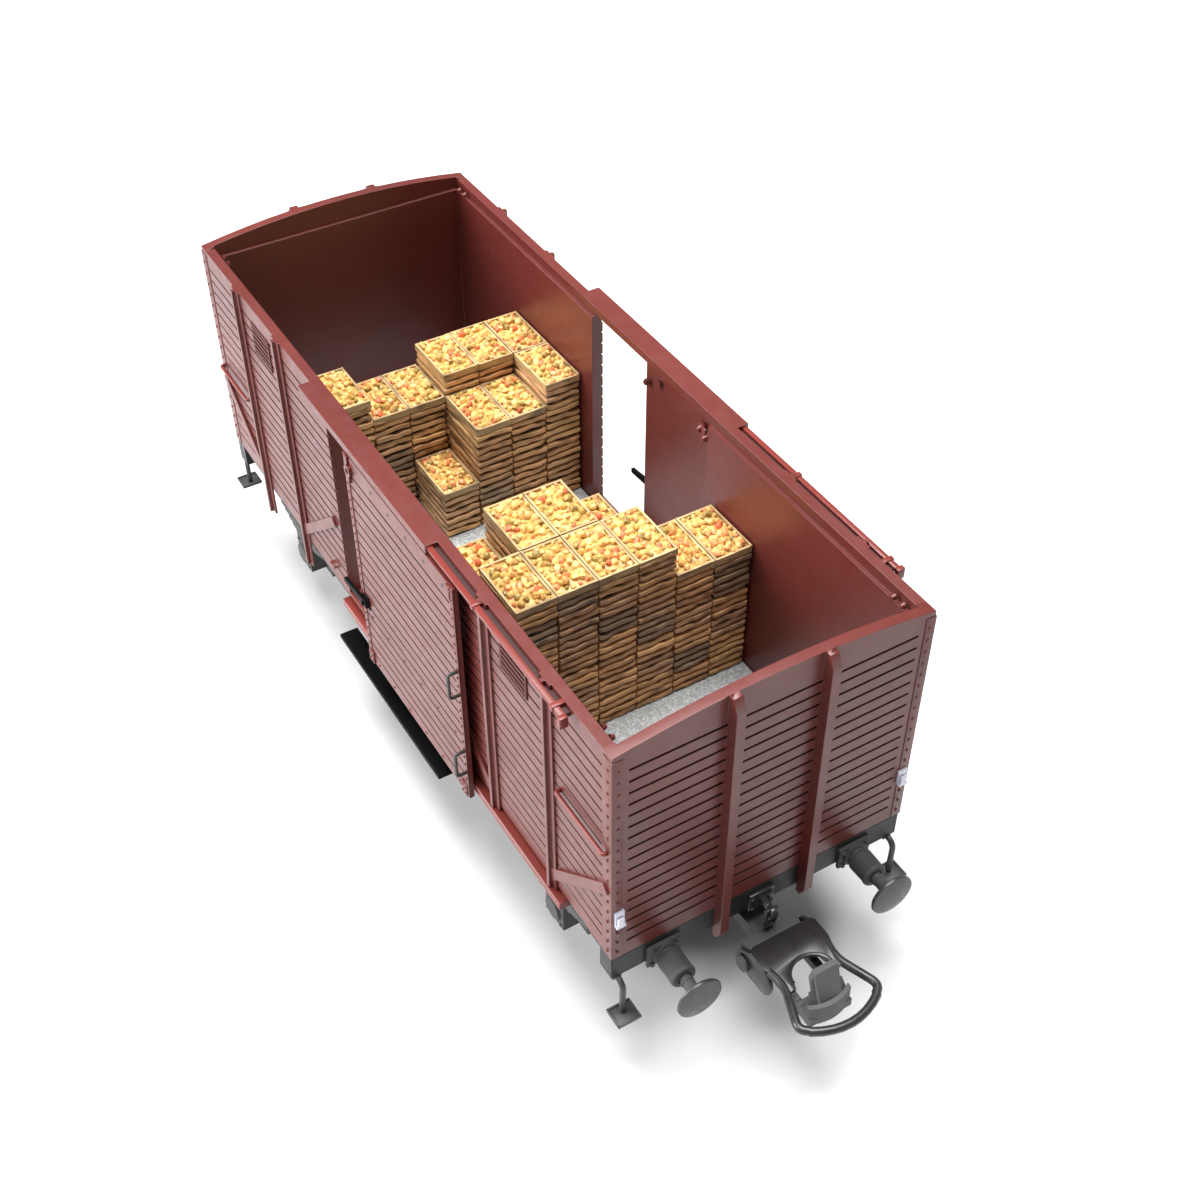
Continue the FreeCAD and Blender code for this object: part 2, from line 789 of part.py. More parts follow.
def make_underframe():
    """Floor tray with headstocks, solebars and cross members."""
    tray = box(
        "tray",
        ("body_length - 2*headstock_thick", "body_width - 2*tray_inset", "tray_thick"),
        ("-body_length/2 + headstock_thick", "-body_width/2 + tray_inset", "body_base - tray_thick"),
    )
    pieces = [tray]
    for name, start in (("rear", "-body_length/2"), ("front", "body_length/2 - headstock_thick")):
        pieces.append(box(
            f"headstock_{name}",
            ("headstock_thick", "body_width", "headstock_height"),
            (start, "-body_width/2", "body_base - headstock_height"),
        ))
    for name, start in (("right", "-solebar_y - solebar_thick"), ("left", "solebar_y")):
        pieces.append(box(
            f"solebar_{name}",
            ("body_length - 2*headstock_thick", "solebar_thick", "solebar_height"),
            ("-body_length/2 + headstock_thick", start, "body_base - solebar_height"),
        ))
    for name, centre in (("rear", "-cross_member_x"), ("front", "cross_member_x")):
        pieces.append(box(
            f"cross_member_{name}",
            ("cross_member", "2*solebar_y", "solebar_height"),
            (f"{centre} - cross_member/2", "-solebar_y", "body_base - solebar_height"),
        ))
    node(fuse("underframe", pieces), "underframe")


def make_buffers():
    """Buffer casing on its base plate, and the stem with its domed head."""
    face = "body_length/2"
    across = "buffer_spacing/2"
    base = box(
        "buffer_base",
        ("buffer_base_thick", "buffer_base_width", "buffer_base_height"),
        (face, f"{across} - buffer_base_width/2", "buffer_height - buffer_base_height/2"),
    )
    collar = cylinder(
        "buffer_collar",
        "buffer_casing_radius + buffer_collar_proud",
        "buffer_collar_length",
        (f"{face} + buffer_base_thick", across, "buffer_height"),
        LIE_ALONG_X,
    )
    casing = cone(
        "buffer_cone",
        ("buffer_casing_radius", "buffer_casing_end_radius"),
        "buffer_casing_length",
        (f"{face} + buffer_base_thick", across, "buffer_height"),
        LIE_ALONG_X,
    )
    all_corners(fuse("buffer_casing", [base, collar, casing]), "buffer_casing")
    mouth = f"{face} + buffer_base_thick + buffer_casing_length"
    stem = cylinder(
        "buffer_stem",
        "buffer_stem_radius",
        f"buffer_reach - buffer_dome - buffer_head_thick - ({mouth})",
        (mouth, across, "buffer_height"),
        LIE_ALONG_X,
    )
    disc = cylinder(
        "buffer_disc",
        "buffer_head_radius",
        "buffer_head_thick",
        ("buffer_reach - buffer_dome - buffer_head_thick", across, "buffer_height"),
        LIE_ALONG_X,
    )
    dome = cone(
        "buffer_dome_face",
        ("buffer_head_radius", "buffer_dome_share*buffer_head_radius"),
        "buffer_dome",
        ("buffer_reach - buffer_dome", across, "buffer_height"),
        LIE_ALONG_X,
    )
    all_corners(fuse("buffer_head", [stem, disc, dome]), "buffer_head")


def make_draw_hooks():
    """Dummy draw hook with its hanging screw link, above the working coupler."""
    root = size("body_length") / 2 + size("draw_plate_thick")
    level = size("buffer_height")
    thick = size("draw_hook_thick")
    depth = size("draw_hook_depth")
    length = size("draw_hook_length")
    plate = box(
        "draw_plate",
        ("draw_plate_thick", "draw_plate_width", "draw_plate_height"),
        ("body_length/2", "-draw_plate_width/2", "buffer_height - 0.35*draw_plate_height"),
    )
    profile = [
        (root, -thick / 2, level),
        (root + 0.6 * length, -thick / 2, level),
        (root + 0.75 * length, -thick / 2, level - 0.45 * depth),
        (root + length, -thick / 2, level),
        (root + 0.9 * length, -thick / 2, level + 1.1 * depth),
        (root + 0.65 * length, -thick / 2, level + 0.95 * depth),
        (root, -thick / 2, level + depth),
    ]
    hook = shape_feature("draw_hook_plate", polygon_prism(profile, Vector(0, thick, 0)))
    both_ends(fuse("draw_hook", [plate, hook]), "draw_hook")


# --- running gear -------------------------------------------------------------------------------

def make_wheelset(name, end):
    """Axle with pointed journals and its two wheels, at one end of the van."""
    centre_x = f"{end}*wheelbase/2"
    centre_z = "tread_radius + flange_depth"
    shaft_half = "guard_inner_y - shaft_gap"
    shaft = cylinder(
        f"shaft_{name}",
        "axle_radius",
        f"2*({shaft_half})",
        (centre_x, f"-({shaft_half})", centre_z),
        LIE_ALONG_Y,
    )
    journal = cylinder(
        f"journal_{name}",
        "journal_radius",
        "axle_length",
        (centre_x, "-axle_length/2", centre_z),
        LIE_ALONG_Y,
    )
    node(fuse(f"axle_{name}", [shaft, journal]), f"axle_{name}")
    for side, label in ((1, "left"), (-1, "right")):
        inner = "back_to_back/2" if side > 0 else "-back_to_back/2 - tyre_width"
        flange_y = inner if side > 0 else "-back_to_back/2 - flange_width"
        web_y = f"{inner} + (tyre_width - web_thick)/2"
        stem = f"wheel_{name}_{label}"
        tyre = cylinder(
            f"{stem}_tyre", "tread_radius", "tyre_width", (centre_x, inner, centre_z), LIE_ALONG_Y
        )
        flange = cylinder(
            f"{stem}_flange",
            "tread_radius + flange_depth",
            "flange_width",
            (centre_x, flange_y, centre_z),
            LIE_ALONG_Y,
        )
        dish = cylinder(
            f"{stem}_dish",
            "tread_radius - tyre_thick",
            "tyre_width + flange_width",
            (centre_x, f"{inner} - flange_width/2", centre_z),
            LIE_ALONG_Y,
        )
        web = cylinder(
            f"{stem}_web",
            "tread_radius - tyre_thick/2",
            "web_thick",
            (centre_x, web_y, centre_z),
            LIE_ALONG_Y,
        )
        hub = cylinder(f"{stem}_hub", "hub_radius", "tyre_width", (centre_x, inner, centre_z), LIE_ALONG_Y)
        bore = cylinder(
            f"{stem}_bore",
            "axle_radius",
            "3*tyre_width",
            (centre_x, f"{inner} - tyre_width", centre_z),
            LIE_ALONG_Y,
        )
        rim = cut(f"{stem}_rim", fuse(f"{stem}_solid", [tyre, flange]), [dish])
        node(cut(stem, fuse(f"{stem}_blank", [rim, web, hub]), [bore]), stem)


def make_axle_guards():
    """Axle guard with leaf spring and axle box, which holds one end of an axle."""
    centre = size("wheelbase") / 2
    axle_z = size("tread_radius") + size("flange_depth")
    top = size("body_base") - size("tray_thick")
    inner = size("guard_inner_y")
    foot_half = size("guard_foot_width") / 2
    mouth_half = size("guard_mouth") / 2
    leg = size("guard_leg")
    tail = axle_z - size("box_height") / 2 - leg
    plate = [
        (centre - foot_half, inner, top),
        (centre - mouth_half - leg, inner, tail),
        (centre + mouth_half + leg, inner, tail),
        (centre + foot_half, inner, top),
    ]
    window = [
        (centre - foot_half + 2 * leg, inner, top - leg),
        (centre - mouth_half, inner, tail + leg),
        (centre + mouth_half, inner, tail + leg),
        (centre + foot_half - 2 * leg, inner, top - leg),
    ]
    thick = Vector(0, size("guard_thick"), 0)
    guard = cut(
        "guard_frame",
        shape_feature("guard_plate", polygon_prism(plate, thick)),
        [shape_feature("guard_window", polygon_prism(window, thick))],
    )
    axle_box = box(
        "axle_box",
        ("box_width", "box_outer_y - guard_inner_y", "box_height"),
        ("wheelbase/2 - box_width/2", "guard_inner_y", "tread_radius + flange_depth - box_height/2"),
    )
    bridge = box(
        "axle_box_bridge",
        ("guard_mouth + guard_leg", "guard_thick", "box_height/2"),
        (
            "wheelbase/2 - guard_mouth/2 - guard_leg/2",
            "guard_inner_y",
            "tread_radius + flange_depth - box_height/4",
        ),
    )
    cover = cylinder(
        "axle_box_cover",
        "box_cover_radius",
        "box_cover_thick",
        ("wheelbase/2", "box_outer_y", "tread_radius + flange_depth"),
        LIE_ALONG_Y,
    )
    spring_y = "solebar_y + solebar_thick/2 - spring_width/2 + spring_offset"
    leaves = []
    for index in range(LEAF_COUNT):
        share = 1 - LEAF_TAPER * index
        leaves.append(box(
            f"spring_leaf_{index}",
            (f"{share}*spring_span", "spring_width", "spring_leaf"),
            (
                f"wheelbase/2 - {share / 2}*spring_span",
                spring_y,
                f"tread_radius + flange_depth + box_height/2 + {LEAF_COUNT - 1 - index}*spring_leaf",
            ),
        ))
    hangers = []
    leaf_top = f"tread_radius + flange_depth + box_height/2 + {LEAF_COUNT}*spring_leaf"
    for end in (-1, 1):
        hangers.append(box(
            f"spring_hanger_{end}",
            ("guard_leg", "spring_width", f"body_base - solebar_height - ({leaf_top})"),
            (f"wheelbase/2 + {end}*(spring_span/2 - guard_leg/2) - guard_leg/2", spring_y, leaf_top),
        ))
    bore = cylinder(
        "axle_box_bore",
        "journal_radius + journal_clearance",
        "axle_length/2 + journal_clearance",
        ("wheelbase/2", "0", "tread_radius + flange_depth"),
        LIE_ALONG_Y,
    )
    solid = fuse("guard_solid", [guard, axle_box, bridge, cover] + leaves + hangers)
    all_corners(cut("axle_guard", solid, [bore]), "axle_guard")


def make_brakes():
    """Brake shoes beside each wheel and the cylinder with its pull rods under the floor."""
    hanger_top = "body_base - tray_thick"
    axle_z = "tread_radius + flange_depth"
    shoes = []
    for end in (-1, 1):
        for side in (-1, 1):
            centre_y = f"{side}*(back_to_back/2 + flange_width + shoe_width/2 + shoe_side_gap)"
            inward = f"{end}*(wheelbase/2 - tread_radius - shoe_gap - shoe_thick/2)"
            shoes.append(box(
                f"shoe_{end + 1}_{side + 1}",
                ("shoe_thick", "shoe_width", f"{hanger_top} - ({axle_z}) + shoe_height/2"),
                (
                    f"{inward} - shoe_thick/2",
                    f"{centre_y} - shoe_width/2",
                    f"{axle_z} - shoe_height/2",
                ),
            ))
    node(gather("brake_shoes", shoes), "brake_shoes")
    cylinder_z = f"{hanger_top} - brake_cylinder_radius"
    barrel = cylinder(
        "brake_barrel",
        "brake_cylinder_radius",
        "brake_cylinder_length",
        ("-brake_cylinder_length/2", "brake_cylinder_y", cylinder_z),
        LIE_ALONG_X,
    )
    saddle = box(
        "brake_saddle",
        ("2*brake_cylinder_length/3", "2*brake_cylinder_radius", "brake_cylinder_radius"),
        ("-brake_cylinder_length/3", "brake_cylinder_y - brake_cylinder_radius", cylinder_z),
    )
    rod = cylinder(
        "brake_rod",
        "brake_rod_radius",
        "brake_lever_x + brake_lever_width/2",
        ("0", "brake_cylinder_y", cylinder_z),
        LIE_ALONG_X,
    )
    lever = box(
        "brake_lever",
        ("brake_lever_width", "brake_lever_length", "brake_lever_width"),
        (
            "brake_lever_x",
            "brake_cylinder_y + brake_lever_width - brake_lever_length",
            f"{cylinder_z} - brake_lever_width/2",
        ),
    )
    node(fuse("brake_rigging", [barrel, saddle, rod, lever]), "brake_rigging")


# --- couplers -----------------------------------------------------------------------------------

def make_coupler_guides():
    """Guide box under the tray with the pin that a coupler swings on."""
    top = "body_base - tray_thick"
    floor = "shank_middle + shank_thick/2 + guide_clear"
    block = box(
        "guide_block",
        (
            "body_length/2 - headstock_thick - coupler_pivot_x + guide_back",
            "guide_width",
            f"{top} - ({floor})",
        ),
        ("coupler_pivot_x - guide_back", "-guide_width/2", floor),
    )
    pin = cylinder(
        "guide_pin",
        "coupler_pin_radius",
        "shank_thick + 2*guide_clear",
        ("coupler_pivot_x", "0", "shank_middle - shank_thick/2 - guide_clear"),
    )
    both_ends(fuse("coupler_guide", [block, pin]), "coupler_guide")


def make_coupler_heads():
    """Swinging coupler head: shank, cross block with loop pins, side arms and upturned hook."""
    low = "shank_middle - shank_thick/2"
    eye = cylinder("shank_eye", "1.9*coupler_pin_radius", "shank_thick", ("coupler_pivot_x", "0", low))
    shank = box(
        "shank",
        ("loop_pivot_x - coupler_pivot_x", "shank_width", "shank_thick"),
        ("coupler_pivot_x", "-shank_width/2", low),
    )
    block = box(
        "head_block",
        ("6*loop_pivot_radius", "2*cheek_inner_y - 2*loop_pin_gap", "shank_thick"),
        ("loop_pivot_x - 2.7*loop_pivot_radius", "-cheek_inner_y + loop_pin_gap", low),
    )
    pins = cylinder(
        "loop_pins",
        "loop_pivot_radius",
        "2*(cheek_inner_y + cheek_thick + loop_pin_gap)",
        ("loop_pivot_x", "-cheek_inner_y - cheek_thick - loop_pin_gap", "shank_middle"),
        LIE_ALONG_Y,
    )
    pin_heads = []
    pin_end = "cheek_inner_y + cheek_thick + loop_pin_gap"
    for side, start in (("left", pin_end), ("right", f"-({pin_end}) - loop_pin_head")):
        pin_heads.append(cylinder(
            f"loop_pin_head_{side}",
            "1.35*loop_pivot_radius",
            "loop_pin_head",
            ("loop_pivot_x", start, "shank_middle"),
            LIE_ALONG_Y,
        ))
    arms = []
    for side, start in (("left", "hook_half_width - hook_arm_width"), ("right", "-hook_half_width")):
        arms.append(box(
            f"hook_arm_{side}",
            ("hook_front_x - loop_pivot_x - hook_wall", "hook_arm_width", "0.6*shank_thick"),
            ("loop_pivot_x", start, low),
        ))
    tongue = box(
        "hook_tongue",
        ("hook_tongue_length", "2*hook_half_width", "0.6*shank_thick"),
        ("hook_front_x - hook_tongue_length - hook_wall/2", "-hook_half_width", low),
    )
    wall_back = size("hook_front_x") - size("hook_wall")
    front = size("hook_front_x")
    bulge = size("hook_bulge")
    half = size("hook_half_width")
    bottom = size("shank_middle") - size("shank_thick") / 2
    outer_arc = Part.Arc(
        Vector(front - bulge, -half, bottom), Vector(front, 0, bottom), Vector(front - bulge, half, bottom)
    )
    inner_arc = Part.Arc(
        Vector(wall_back - bulge, half, bottom),
        Vector(wall_back, 0, bottom),
        Vector(wall_back - bulge, -half, bottom),
    )
    left_end = Part.LineSegment(
        Vector(front - bulge, half, bottom), Vector(wall_back - bulge, half, bottom)
    )
    right_end = Part.LineSegment(
        Vector(wall_back - bulge, -half, bottom), Vector(front - bulge, -half, bottom)
    )
    wall_edges = [edge.toShape() for edge in (outer_arc, left_end, inner_arc, right_end)]
    skirt_height = size("hook_skirt_height")
    skirt = shape_feature(
        "hook_skirt", Part.Face(Part.Wire(wall_edges)).extrude(Vector(0, 0, skirt_height))
    )
    upright_half = 0.55 * half
    slope = size("hook_slope")
    upright_profile = [
        (wall_back - bulge, -upright_half, bottom),
        (front - bulge, -upright_half, bottom),
        (front - bulge, -upright_half, bottom + skirt_height),
        (front - bulge - slope, -upright_half, size("hook_top")),
        (wall_back - bulge - slope, -upright_half, size("hook_top")),
        (wall_back - bulge, -upright_half, bottom + skirt_height),
    ]
    upright = shape_feature(
        "hook_upright", polygon_prism(upright_profile, Vector(0, 2 * upright_half, 0))
    )
    eye_hole = cylinder(
        "shank_eye_hole",
        "coupler_pin_radius + coupler_running_gap",
        "3*shank_thick",
        ("coupler_pivot_x", "0", "shank_middle - 1.5*shank_thick"),
    )
    solid = fuse("head_solid", [eye, shank, block, pins, tongue, skirt, upright] + pin_heads + arms)
    both_ends(cut("coupler_head", solid, [eye_hole]), "coupler_head")


def make_coupler_loops():
    """Lifting loop: two pivoted cheeks, a top plate with an arched mouth, and the bowed bar."""
    pivot_x = size("loop_pivot_x")
    pivot_z = size("shank_middle")
    plate_top = size("loop_plate_top")
    plate_thick = size("loop_plate_thick")
    cheek_outer = size("cheek_inner_y") + size("cheek_thick")
    plate_end = pivot_x + size("loop_plate_front")
    pieces = []
    for side in (-1, 1):
        start = "cheek_inner_y" if side > 0 else "-cheek_inner_y - cheek_thick"
        pieces.append(cylinder(
            f"cheek_round_{side}",
            "cheek_radius",
            "cheek_thick",
            ("loop_pivot_x", start, "shank_middle"),
            LIE_ALONG_Y,
        ))
        y = size("cheek_inner_y") if side > 0 else -cheek_outer
        outline = [
            (pivot_x - 0.9, y, pivot_z + 0.9),
            (pivot_x, y, plate_top - plate_thick),
            (pivot_x + size("loop_plate_back"), y, plate_top),
            (plate_end - 0.5, y, plate_top),
            (plate_end - 0.3, y, pivot_z - 0.2),
            (pivot_x + 2.2, y, pivot_z - size("cheek_radius") + 0.1),
            (pivot_x, y, pivot_z - size("cheek_radius")),
        ]
        pieces.append(shape_feature(
            f"cheek_plate_{side}", polygon_prism(outline, Vector(0, size("cheek_thick"), 0))
        ))
    plate = box(
        "loop_plate",
        ("loop_plate_front - loop_plate_back", "2*(cheek_inner_y + cheek_thick)", "loop_plate_thick"),
        (
            "loop_pivot_x + loop_plate_back",
            "-cheek_inner_y - cheek_thick",
            "loop_plate_top - loop_plate_thick",
        ),
    )
    mouth = cylinder(
        "loop_mouth",
        "loop_mouth_radius",
        "3*loop_plate_thick",
        ("loop_pivot_x + loop_plate_front + loop_mouth_offset", "0", "loop_plate_top - 2*loop_plate_thick"),
    )
    pieces.append(cut("loop_plate_mouth", plate, [mouth]))
    bar_z = plate_top - size("loop_bar_radius")
    corner_x = size("loop_corner_x")
    half = size("loop_half_width")
    start_x = plate_end - 1.0
    start_y = cheek_outer - size("loop_bar_radius")
    bend = 1.1
    front = size("loop_front_x")
    side_run = Vector(corner_x - start_x, half - start_y, 0).normalize()
    bow_half = half - 0.9
    left_end = Vector(corner_x, half, bar_z) - side_run * bend
    bow_start = Vector(corner_x + 0.75, bow_half, bar_z)
    edges = [
        Part.LineSegment(Vector(start_x, start_y, bar_z), left_end).toShape(),
        Part.Arc(left_end, Vector(corner_x + 0.12, half - 0.12, bar_z), bow_start).toShape(),
        Part.Arc(bow_start, Vector(front, 0, bar_z), Vector(bow_start.x, -bow_half, bar_z)).toShape(),
        Part.Arc(
            Vector(bow_start.x, -bow_half, bar_z),
            Vector(corner_x + 0.12, -half + 0.12, bar_z),
            Vector(left_end.x, -left_end.y, bar_z),
        ).toShape(),
        Part.LineSegment(Vector(left_end.x, -left_end.y, bar_z), Vector(start_x, -start_y, bar_z)).toShape(),
    ]
    section = Part.Wire([
        Part.Circle(Vector(start_x, start_y, bar_z), side_run, size("loop_bar_radius")).toShape()
    ])
    bar = Part.Wire(edges).makePipeShell([section], True, False, 2)
    pieces.append(shape_feature("loop_bar", bar))
    pin_holes = cylinder(
        "loop_pin_holes",
        "loop_pivot_radius + coupler_running_gap",
        "4*cheek_inner_y",
        ("loop_pivot_x", "-2*cheek_inner_y", "shank_middle"),
        LIE_ALONG_Y,
    )
    both_ends(cut("coupler_loop", fuse("loop_solid", pieces), [pin_holes]), "coupler_loop")


# --- steps and small fittings -------------------------------------------------------------------

def make_running_boards():
    """Long step below a doorway with its two hangers."""
    board = box(
        "board",
        ("board_length", "board_width", "board_thick"),
        ("-board_length/2", "board_outer_y - board_width", "body_base - board_drop - board_thick"),
    )
    hangers = []
    for name, along in (("rear", "-board_hanger_x"), ("front", "board_hanger_x")):
        hangers.append(box(
            f"board_arm_{name}",
            ("cross_member", "board_outer_y - board_width/2 - solebar_y - solebar_thick", "board_thick"),
            (
                f"{along} - cross_member/2",
                "solebar_y + solebar_thick",
                "body_base - board_drop - 2*board_thick",
            ),
        ))
        hangers.append(box(
            f"board_leg_{name}",
            (
                "cross_member",
                "board_thick",
                "board_drop + 2*board_thick - sill_rail_drop - sill_rail_height - hanger_top_gap",
            ),
            (
                f"{along} - cross_member/2",
                "solebar_y + solebar_thick",
                "body_base - board_drop - 2*board_thick",
            ),
        ))
    both_sides(fuse("running_board", [board] + hangers), "running_board")


def make_shunter_steps():
    """Corner step plate on a bent rod from the headstock."""
    x = size("step_x")
    y = size("step_y")
    tread = size("body_base") - size("step_drop")
    headstock_foot = size("body_base") - size("headstock_height")
    rod = size("step_rod")
    root_x = size("body_length") / 2 - size("headstock_thick") / 2
    lug = box(
        "step_lug",
        ("headstock_thick/2", "3*step_rod", "2*step_rod"),
        (
            "body_length/2 - 0.75*headstock_thick",
            "step_y - 1.5*step_rod",
            "body_base - headstock_height - 2*step_rod",
        ),
    )
    route = [
        (root_x, y, headstock_foot - rod),
        (x, y, headstock_foot - 2.5 * rod),
        (x, y, tread),
    ]
    stem = shape_feature("step_rod", round_bar(route, rod, 2 * rod))
    plate = box(
        "step_plate",
        ("step_length", "step_width", "step_thick"),
        ("step_x - step_length/2", "step_y - step_width/2", "body_base - step_drop - step_thick/2"),
    )
    all_corners(fuse("shunter_step", [lug, stem, plate]), "shunter_step")


def make_lamp_irons():
    """Lamp bracket clipped to a corner of the end wall."""
    side = "body_width/2 - lamp_side_inset - lamp_plate_width"
    foot = "body_base + lamp_iron_rise - lamp_plate_height - lamp_plate_thick"
    plate = box(
        "lamp_plate",
        ("lamp_plate_thick", "lamp_plate_width", "lamp_plate_height"),
        ("body_length/2", side, f"{foot} + lamp_plate_thick"),
    )
    tongue = box(
        "lamp_tongue",
        ("lamp_tongue_reach", "lamp_plate_width", "lamp_plate_thick"),
        ("body_length/2", side, foot),
    )
    upright = box(
        "lamp_upright",
        ("lamp_plate_thick", "lamp_upright_width", "lamp_upright_height"),
        (
            "body_length/2 + lamp_tongue_reach - lamp_plate_thick",
            f"{side} + (lamp_plate_width - lamp_upright_width)/2",
            foot,
        ),
    )
    all_corners(fuse("lamp_iron", [plate, tongue, upright]), "lamp_iron")


def make_rope_rails():
    """Thin rails with standoffs between the outer posts and the corners, lower at the rear."""
    wall = size("body_width") / 2
    front_level = size("body_base") + size("rope_rail_rise")
    rear_level = front_level - size("rope_rail_rear_drop")
    wire = size("rope_rail_wire")
    start = size("post_outer_x") + size("post_flange_width")
    stop = size("body_length") / 2 - 0.4 * size("corner_strip")
    rails = []
    for end, level in ((-1, rear_level), (1, front_level)):
        route = [
            (end * start, wall, level),
            (end * start, wall + 2.2 * wire, level),
            (end * stop, wall + 2.2 * wire, level),
            (end * stop, wall, level),
        ]
        rails.append(shape_feature(f"rope_rail_{end}", round_bar(route, wire, 1.1 * wire)))
    both_sides(gather("rope_rail", rails), "rope_rail")


# --- loads --------------------------------------------------------------------------------------

def make_load(name, rows, start_alias):
    """Casting of stacked crates; each row lists its stacks' courses from the left wall inwards."""
    stacks = []
    for row, courses in enumerate(rows):
        for column, count in enumerate(courses):
            if count == 0:
                continue
            stacks.append(box(
                f"{name}_{row}_{column}",
                ("crate_long", "crate_wide", f"{count}*crate_course"),
                (
                    f"{start_alias} + {row}*crate_long",
                    f"load_far_y - {column + 1}*crate_wide",
                    "body_base + plate_thick",
                ),
            ))
    node(fuse(name, stacks), name)


def check_and_write():
    """Recompute, check every object and write each sub-part to its own file."""
    doc.recompute()
    for item in doc.Objects:
        if "Invalid" in item.State or "Error" in item.State:
            raise RuntimeError(f"{item.Name} failed: {item.State}")
    os.makedirs("parts", exist_ok=True)
    for item in NODES:
        if item.Shape.isNull() or not item.Shape.isValid() or not item.Shape.Solids:
            raise RuntimeError(f"{item.Label} has no valid shape")
        item.Shape.exportStep(f"parts/{item.Label}.step")
        print(f"{item.Label:28s} solids {len(item.Shape.Solids):2d} volume {item.Shape.Volume:9.2f}")


make_body_shell()
make_ventilators()
make_door_rails()
make_doors()
make_floor()
make_underframe()
make_buffers()
make_draw_hooks()
make_wheelset("front", 1)
make_wheelset("rear", -1)
make_axle_guards()
make_brakes()
make_coupler_guides()
make_coupler_heads()
make_coupler_loops()
make_running_boards()
make_shunter_steps()
make_lamp_irons()
make_rope_rails()
make_load("load_rear", REAR_STACKS, "load_rear_x")
make_load("load_front", FRONT_STACKS, "load_front_x")
check_and_write()
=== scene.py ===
"""Looks of a planked H0 goods van with its roof off, carrying stacked crates of fruit.

Every new mesh is made in millimetres in the van's own frame (+X along the track to the front
coupler, +Y to the left side, +Z up) and is scaled to metres when it is finished.
"""

import json
import logging
import math
import random
from dataclasses import dataclass, field
from enum import Enum
from typing import Iterable, Sequence

import bmesh
import bpy
from mathutils import Euler, Matrix, Vector, noise

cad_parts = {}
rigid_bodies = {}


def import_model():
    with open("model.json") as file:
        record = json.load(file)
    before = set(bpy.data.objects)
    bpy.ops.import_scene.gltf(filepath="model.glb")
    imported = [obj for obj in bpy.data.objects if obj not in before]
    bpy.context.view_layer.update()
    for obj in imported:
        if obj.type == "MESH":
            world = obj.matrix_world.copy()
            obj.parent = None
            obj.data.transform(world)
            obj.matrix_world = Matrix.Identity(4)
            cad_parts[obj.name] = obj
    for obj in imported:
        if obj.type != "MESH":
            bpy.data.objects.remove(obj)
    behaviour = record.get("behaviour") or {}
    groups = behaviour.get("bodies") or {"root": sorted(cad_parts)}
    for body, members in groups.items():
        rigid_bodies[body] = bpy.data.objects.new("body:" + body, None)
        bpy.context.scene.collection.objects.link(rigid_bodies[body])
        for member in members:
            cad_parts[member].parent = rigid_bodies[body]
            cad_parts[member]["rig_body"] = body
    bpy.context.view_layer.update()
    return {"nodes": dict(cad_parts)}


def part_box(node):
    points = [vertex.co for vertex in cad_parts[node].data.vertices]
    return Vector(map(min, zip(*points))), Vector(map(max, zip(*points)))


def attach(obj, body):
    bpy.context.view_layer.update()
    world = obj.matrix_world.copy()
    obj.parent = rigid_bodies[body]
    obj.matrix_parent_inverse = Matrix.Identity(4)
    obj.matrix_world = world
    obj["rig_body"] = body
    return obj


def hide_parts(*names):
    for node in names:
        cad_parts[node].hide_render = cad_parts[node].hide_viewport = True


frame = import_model()

MM = 0.001
SHARP = math.radians(28)
FLAT = math.radians(0.8)
CREASE = math.radians(38)
WELD = 1e-4
CASTING_WELD = 0.002
STUD_TAPER = 0.62
SIDES = (("left", 1), ("right", -1))
ENDS = (("front", 1), ("rear", -1))
LOG = logging.getLogger("van")
Point = Sequence[float]
Colour = tuple[float, float, float]
Socket = bpy.types.NodeSocket


def box_mm(node: str) -> tuple[Vector, Vector]:
    """Lowest and highest corner of a CAD node's box, in millimetres."""
    low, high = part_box(node)
    return low / MM, high / MM


def verts_in(items: Iterable) -> list[bmesh.types.BMVert]:
    """The vertices among an operator's results."""
    return [item for item in items if isinstance(item, bmesh.types.BMVert)]


def faces_of(verts: Iterable[bmesh.types.BMVert]) -> list[bmesh.types.BMFace]:
    """Every face that has one of the vertices."""
    return list({face for vert in verts for face in vert.link_faces})


def sharp_edges(edges: Iterable[bmesh.types.BMEdge]) -> list[bmesh.types.BMEdge]:
    """The edges between two faces that meet at more than the sharp angle."""
    return [edge for edge in edges if len(edge.link_faces) == 2 and edge.calc_face_angle(0.0) > SHARP]


def bevel(mesh: bmesh.types.BMesh, edges: list, width: float, segments: int = 1, clamp: bool = True) -> None:
    """Round some edges of a mesh.

    Args:
        mesh: the mesh that has them.
        edges: the edges.
        width: width of the rounding.
        segments: faces across the rounding.
        clamp: whether the rounding stops where it would overlap.
    """
    bmesh.ops.bevel(
        mesh, geom=edges, offset=width, offset_type="OFFSET", affect="EDGES", segments=segments,
        profile=0.5, material=-1, clamp_overlap=clamp,
    )


# --- finishes -----------------------------------------------------------------------------------

